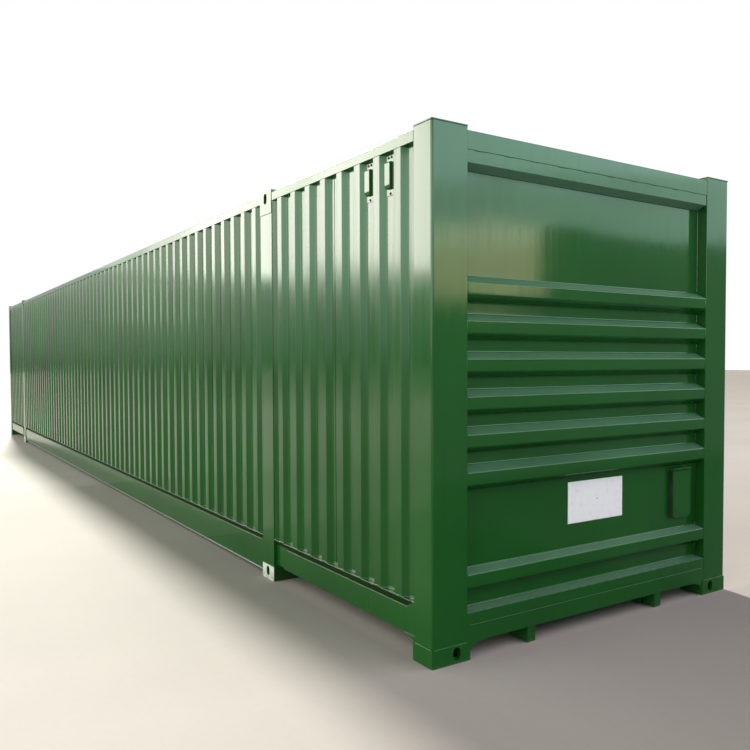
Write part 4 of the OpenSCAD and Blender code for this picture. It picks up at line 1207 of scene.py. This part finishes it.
# Each lamp's name, corner, side across, side up, light that it is part of, share of its brightness and colour.
# The paint mirrors none of the high ones.
LAMPS = (
    ("key light", (-20, -15, 5.55), (0, -9.0, 0.95), (0, 0, 8.2), "key", 1.0, WARM),
    ("key middle", (-20, -9.6, 5.3), (0, -5.4, 0.25), (0, 0, 8.2), "key", 0.70, WARM),
    ("key side", (-20, -7.4, 5.0), (0, -2.2, 0.3), (0, 0, 8.2), "key", 0.27, WARM),
    ("key edge", (-20, -9.6, 4.8), (0, -12.0, 0.9), (0, 0, 0.5), "key", 0.26, LEAFY),
    ("haze", (-20, -6.6, 3.2), (0, -3.0, 0), (0, 0, 1.6), "key", 0.12, LEAFY),
    ("far haze", (-20, -4.4, 5.3), (0, -3.0, 0), (0, 0, 7.0), "key", 0.12, LEAFY),
    ("corner light", (-20, -24, 5.2), (8, -6, 0), (0, 0, 7.0), "key", 0.25, WARM),
    ("corner edge", (-20, -24, 2.2), (8, -6, 0), (0, 0, 3.0), "key", 0.10, WARM),
    ("side light", (-12, -30, 5.2), (27, 0, 0), (0, 0, 7.0), "side", 0.76, PALE),
    ("side edge", (-12, -30, 1.8), (27, 0, 0), (0, 0, 3.4), "side", 0.26, PALE),
    ("high side light", (-12, -26, 14), (36, 0, 0), (0, 8, 11), "side", 0.46, (0.97, 1.0, 0.97)),
    ("near side light", (15, -30, 5.2), (12, 0, 0), (0, 0, 7.0), "side", 0.66, TEAL),
    ("near side edge", (15, -30, 1.8), (12, 0, 0), (0, 0, 3.4), "side", 0.24, TEAL),
    ("fill light", (42, 2, 9.0), (-26, 30, 0), (0, 0, 7), "fill", 1.0, COOL),
    ("fill edge", (42, 2, 6.3), (-26, 30, 0), (0, 0, 2.7), "fill", 0.45, (0.52, 1.0, 0.85)),
    ("high fill", (42, 2, 16), (-26, 30, 0), (-4, -4, 11), "fill", 1.6, (1.0, 0.80, 0.98)),
    ("front side light", (27, -30, 4), (15, 32, 0), (0, 0, 8), "fill", 0.55, (0.80, 1.0, 0.85)),
    ("warm light", (31.9, 14.6, 4.3), (-4.2, 4.7, 0), (0, 0, 3.1), "fill", 0.82, (1.0, 0.88, 0.42)),
)


class SCENE_OT_container_stage(Operator):
    """Sets up the camera, the floor, the sky and the soft lights."""

    bl_idname = "scene.container_stage"
    bl_label = "Stage"

    def execute(self, context):
        stage = context.scene.container_stage
        data = bpy.data.cameras.new("camera")
        data.sensor_width = 36.0
        data.lens = stage.lens
        data.shift_x = stage.shift_x
        data.shift_y = stage.shift_y
        data.clip_end = 500
        camera = bpy.data.objects.new("camera", data)
        turn = Matrix((CAMERA_RIGHT, CAMERA_UP, CAMERA_BACK)).transposed().to_4x4()
        camera.matrix_world = Matrix.Translation(CAMERA_PLACE) @ turn
        context.scene.collection.objects.link(camera)
        context.scene.camera = camera
        context.scene.view_settings.view_transform = "Standard"

        half = stage.floor_size / 2
        x, y = np.meshgrid(np.linspace(-half, half, 9), np.linspace(-half, half, 9))
        ground = stage_piece("ground", points_at(x, y, -0.0005), tuple(stage.floor_tone))
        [screen(*place) for place in SCREENS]

        sky(stage.ambient)
        back_light(stage.back, stage.back_rise)
        for name, corner, across, up, light, share, colour in LAMPS:
            softbox(name, corner, across, up, getattr(stage, light) * share, colour)
        return {"FINISHED"}


class VIEW3D_PT_container(Panel):
    """Lists the steps that build the container's look."""

    bl_label = "Container"
    bl_space_type = "VIEW_3D"
    bl_region_type = "UI"
    bl_category = "Container"

    def draw(self, context):
        for step in STEPS:
            self.layout.operator(step.bl_idname)


STEPS = (
    SCENE_OT_container_stage,
    OBJECT_OT_container_sides,
    OBJECT_OT_container_front,
    OBJECT_OT_container_roof,
    OBJECT_OT_container_steelwork,
    OBJECT_OT_container_welds,
    OBJECT_OT_container_vents,
    OBJECT_OT_container_placard,
    OBJECT_OT_container_doors,
    OBJECT_OT_container_floor,
)
GROUPS = (ContainerSheets, ContainerPaint, ContainerStage)


def register():
    for item in GROUPS + STEPS + (VIEW3D_PT_container,):
        bpy.utils.register_class(item)
    bpy.types.Scene.container_sheets = PointerProperty(type=ContainerSheets)
    bpy.types.Scene.container_paint = PointerProperty(type=ContainerPaint)
    bpy.types.Scene.container_stage = PointerProperty(type=ContainerStage)


def unregister():
    del bpy.types.Scene.container_stage
    del bpy.types.Scene.container_paint
    del bpy.types.Scene.container_sheets
    for item in reversed(GROUPS + STEPS + (VIEW3D_PT_container,)):
        bpy.utils.unregister_class(item)


def main():
    register()
    for step in STEPS:
        group, name = step.bl_idname.split(".")
        getattr(getattr(bpy.ops, group), name)()


if __name__ == "__main__":
    main()
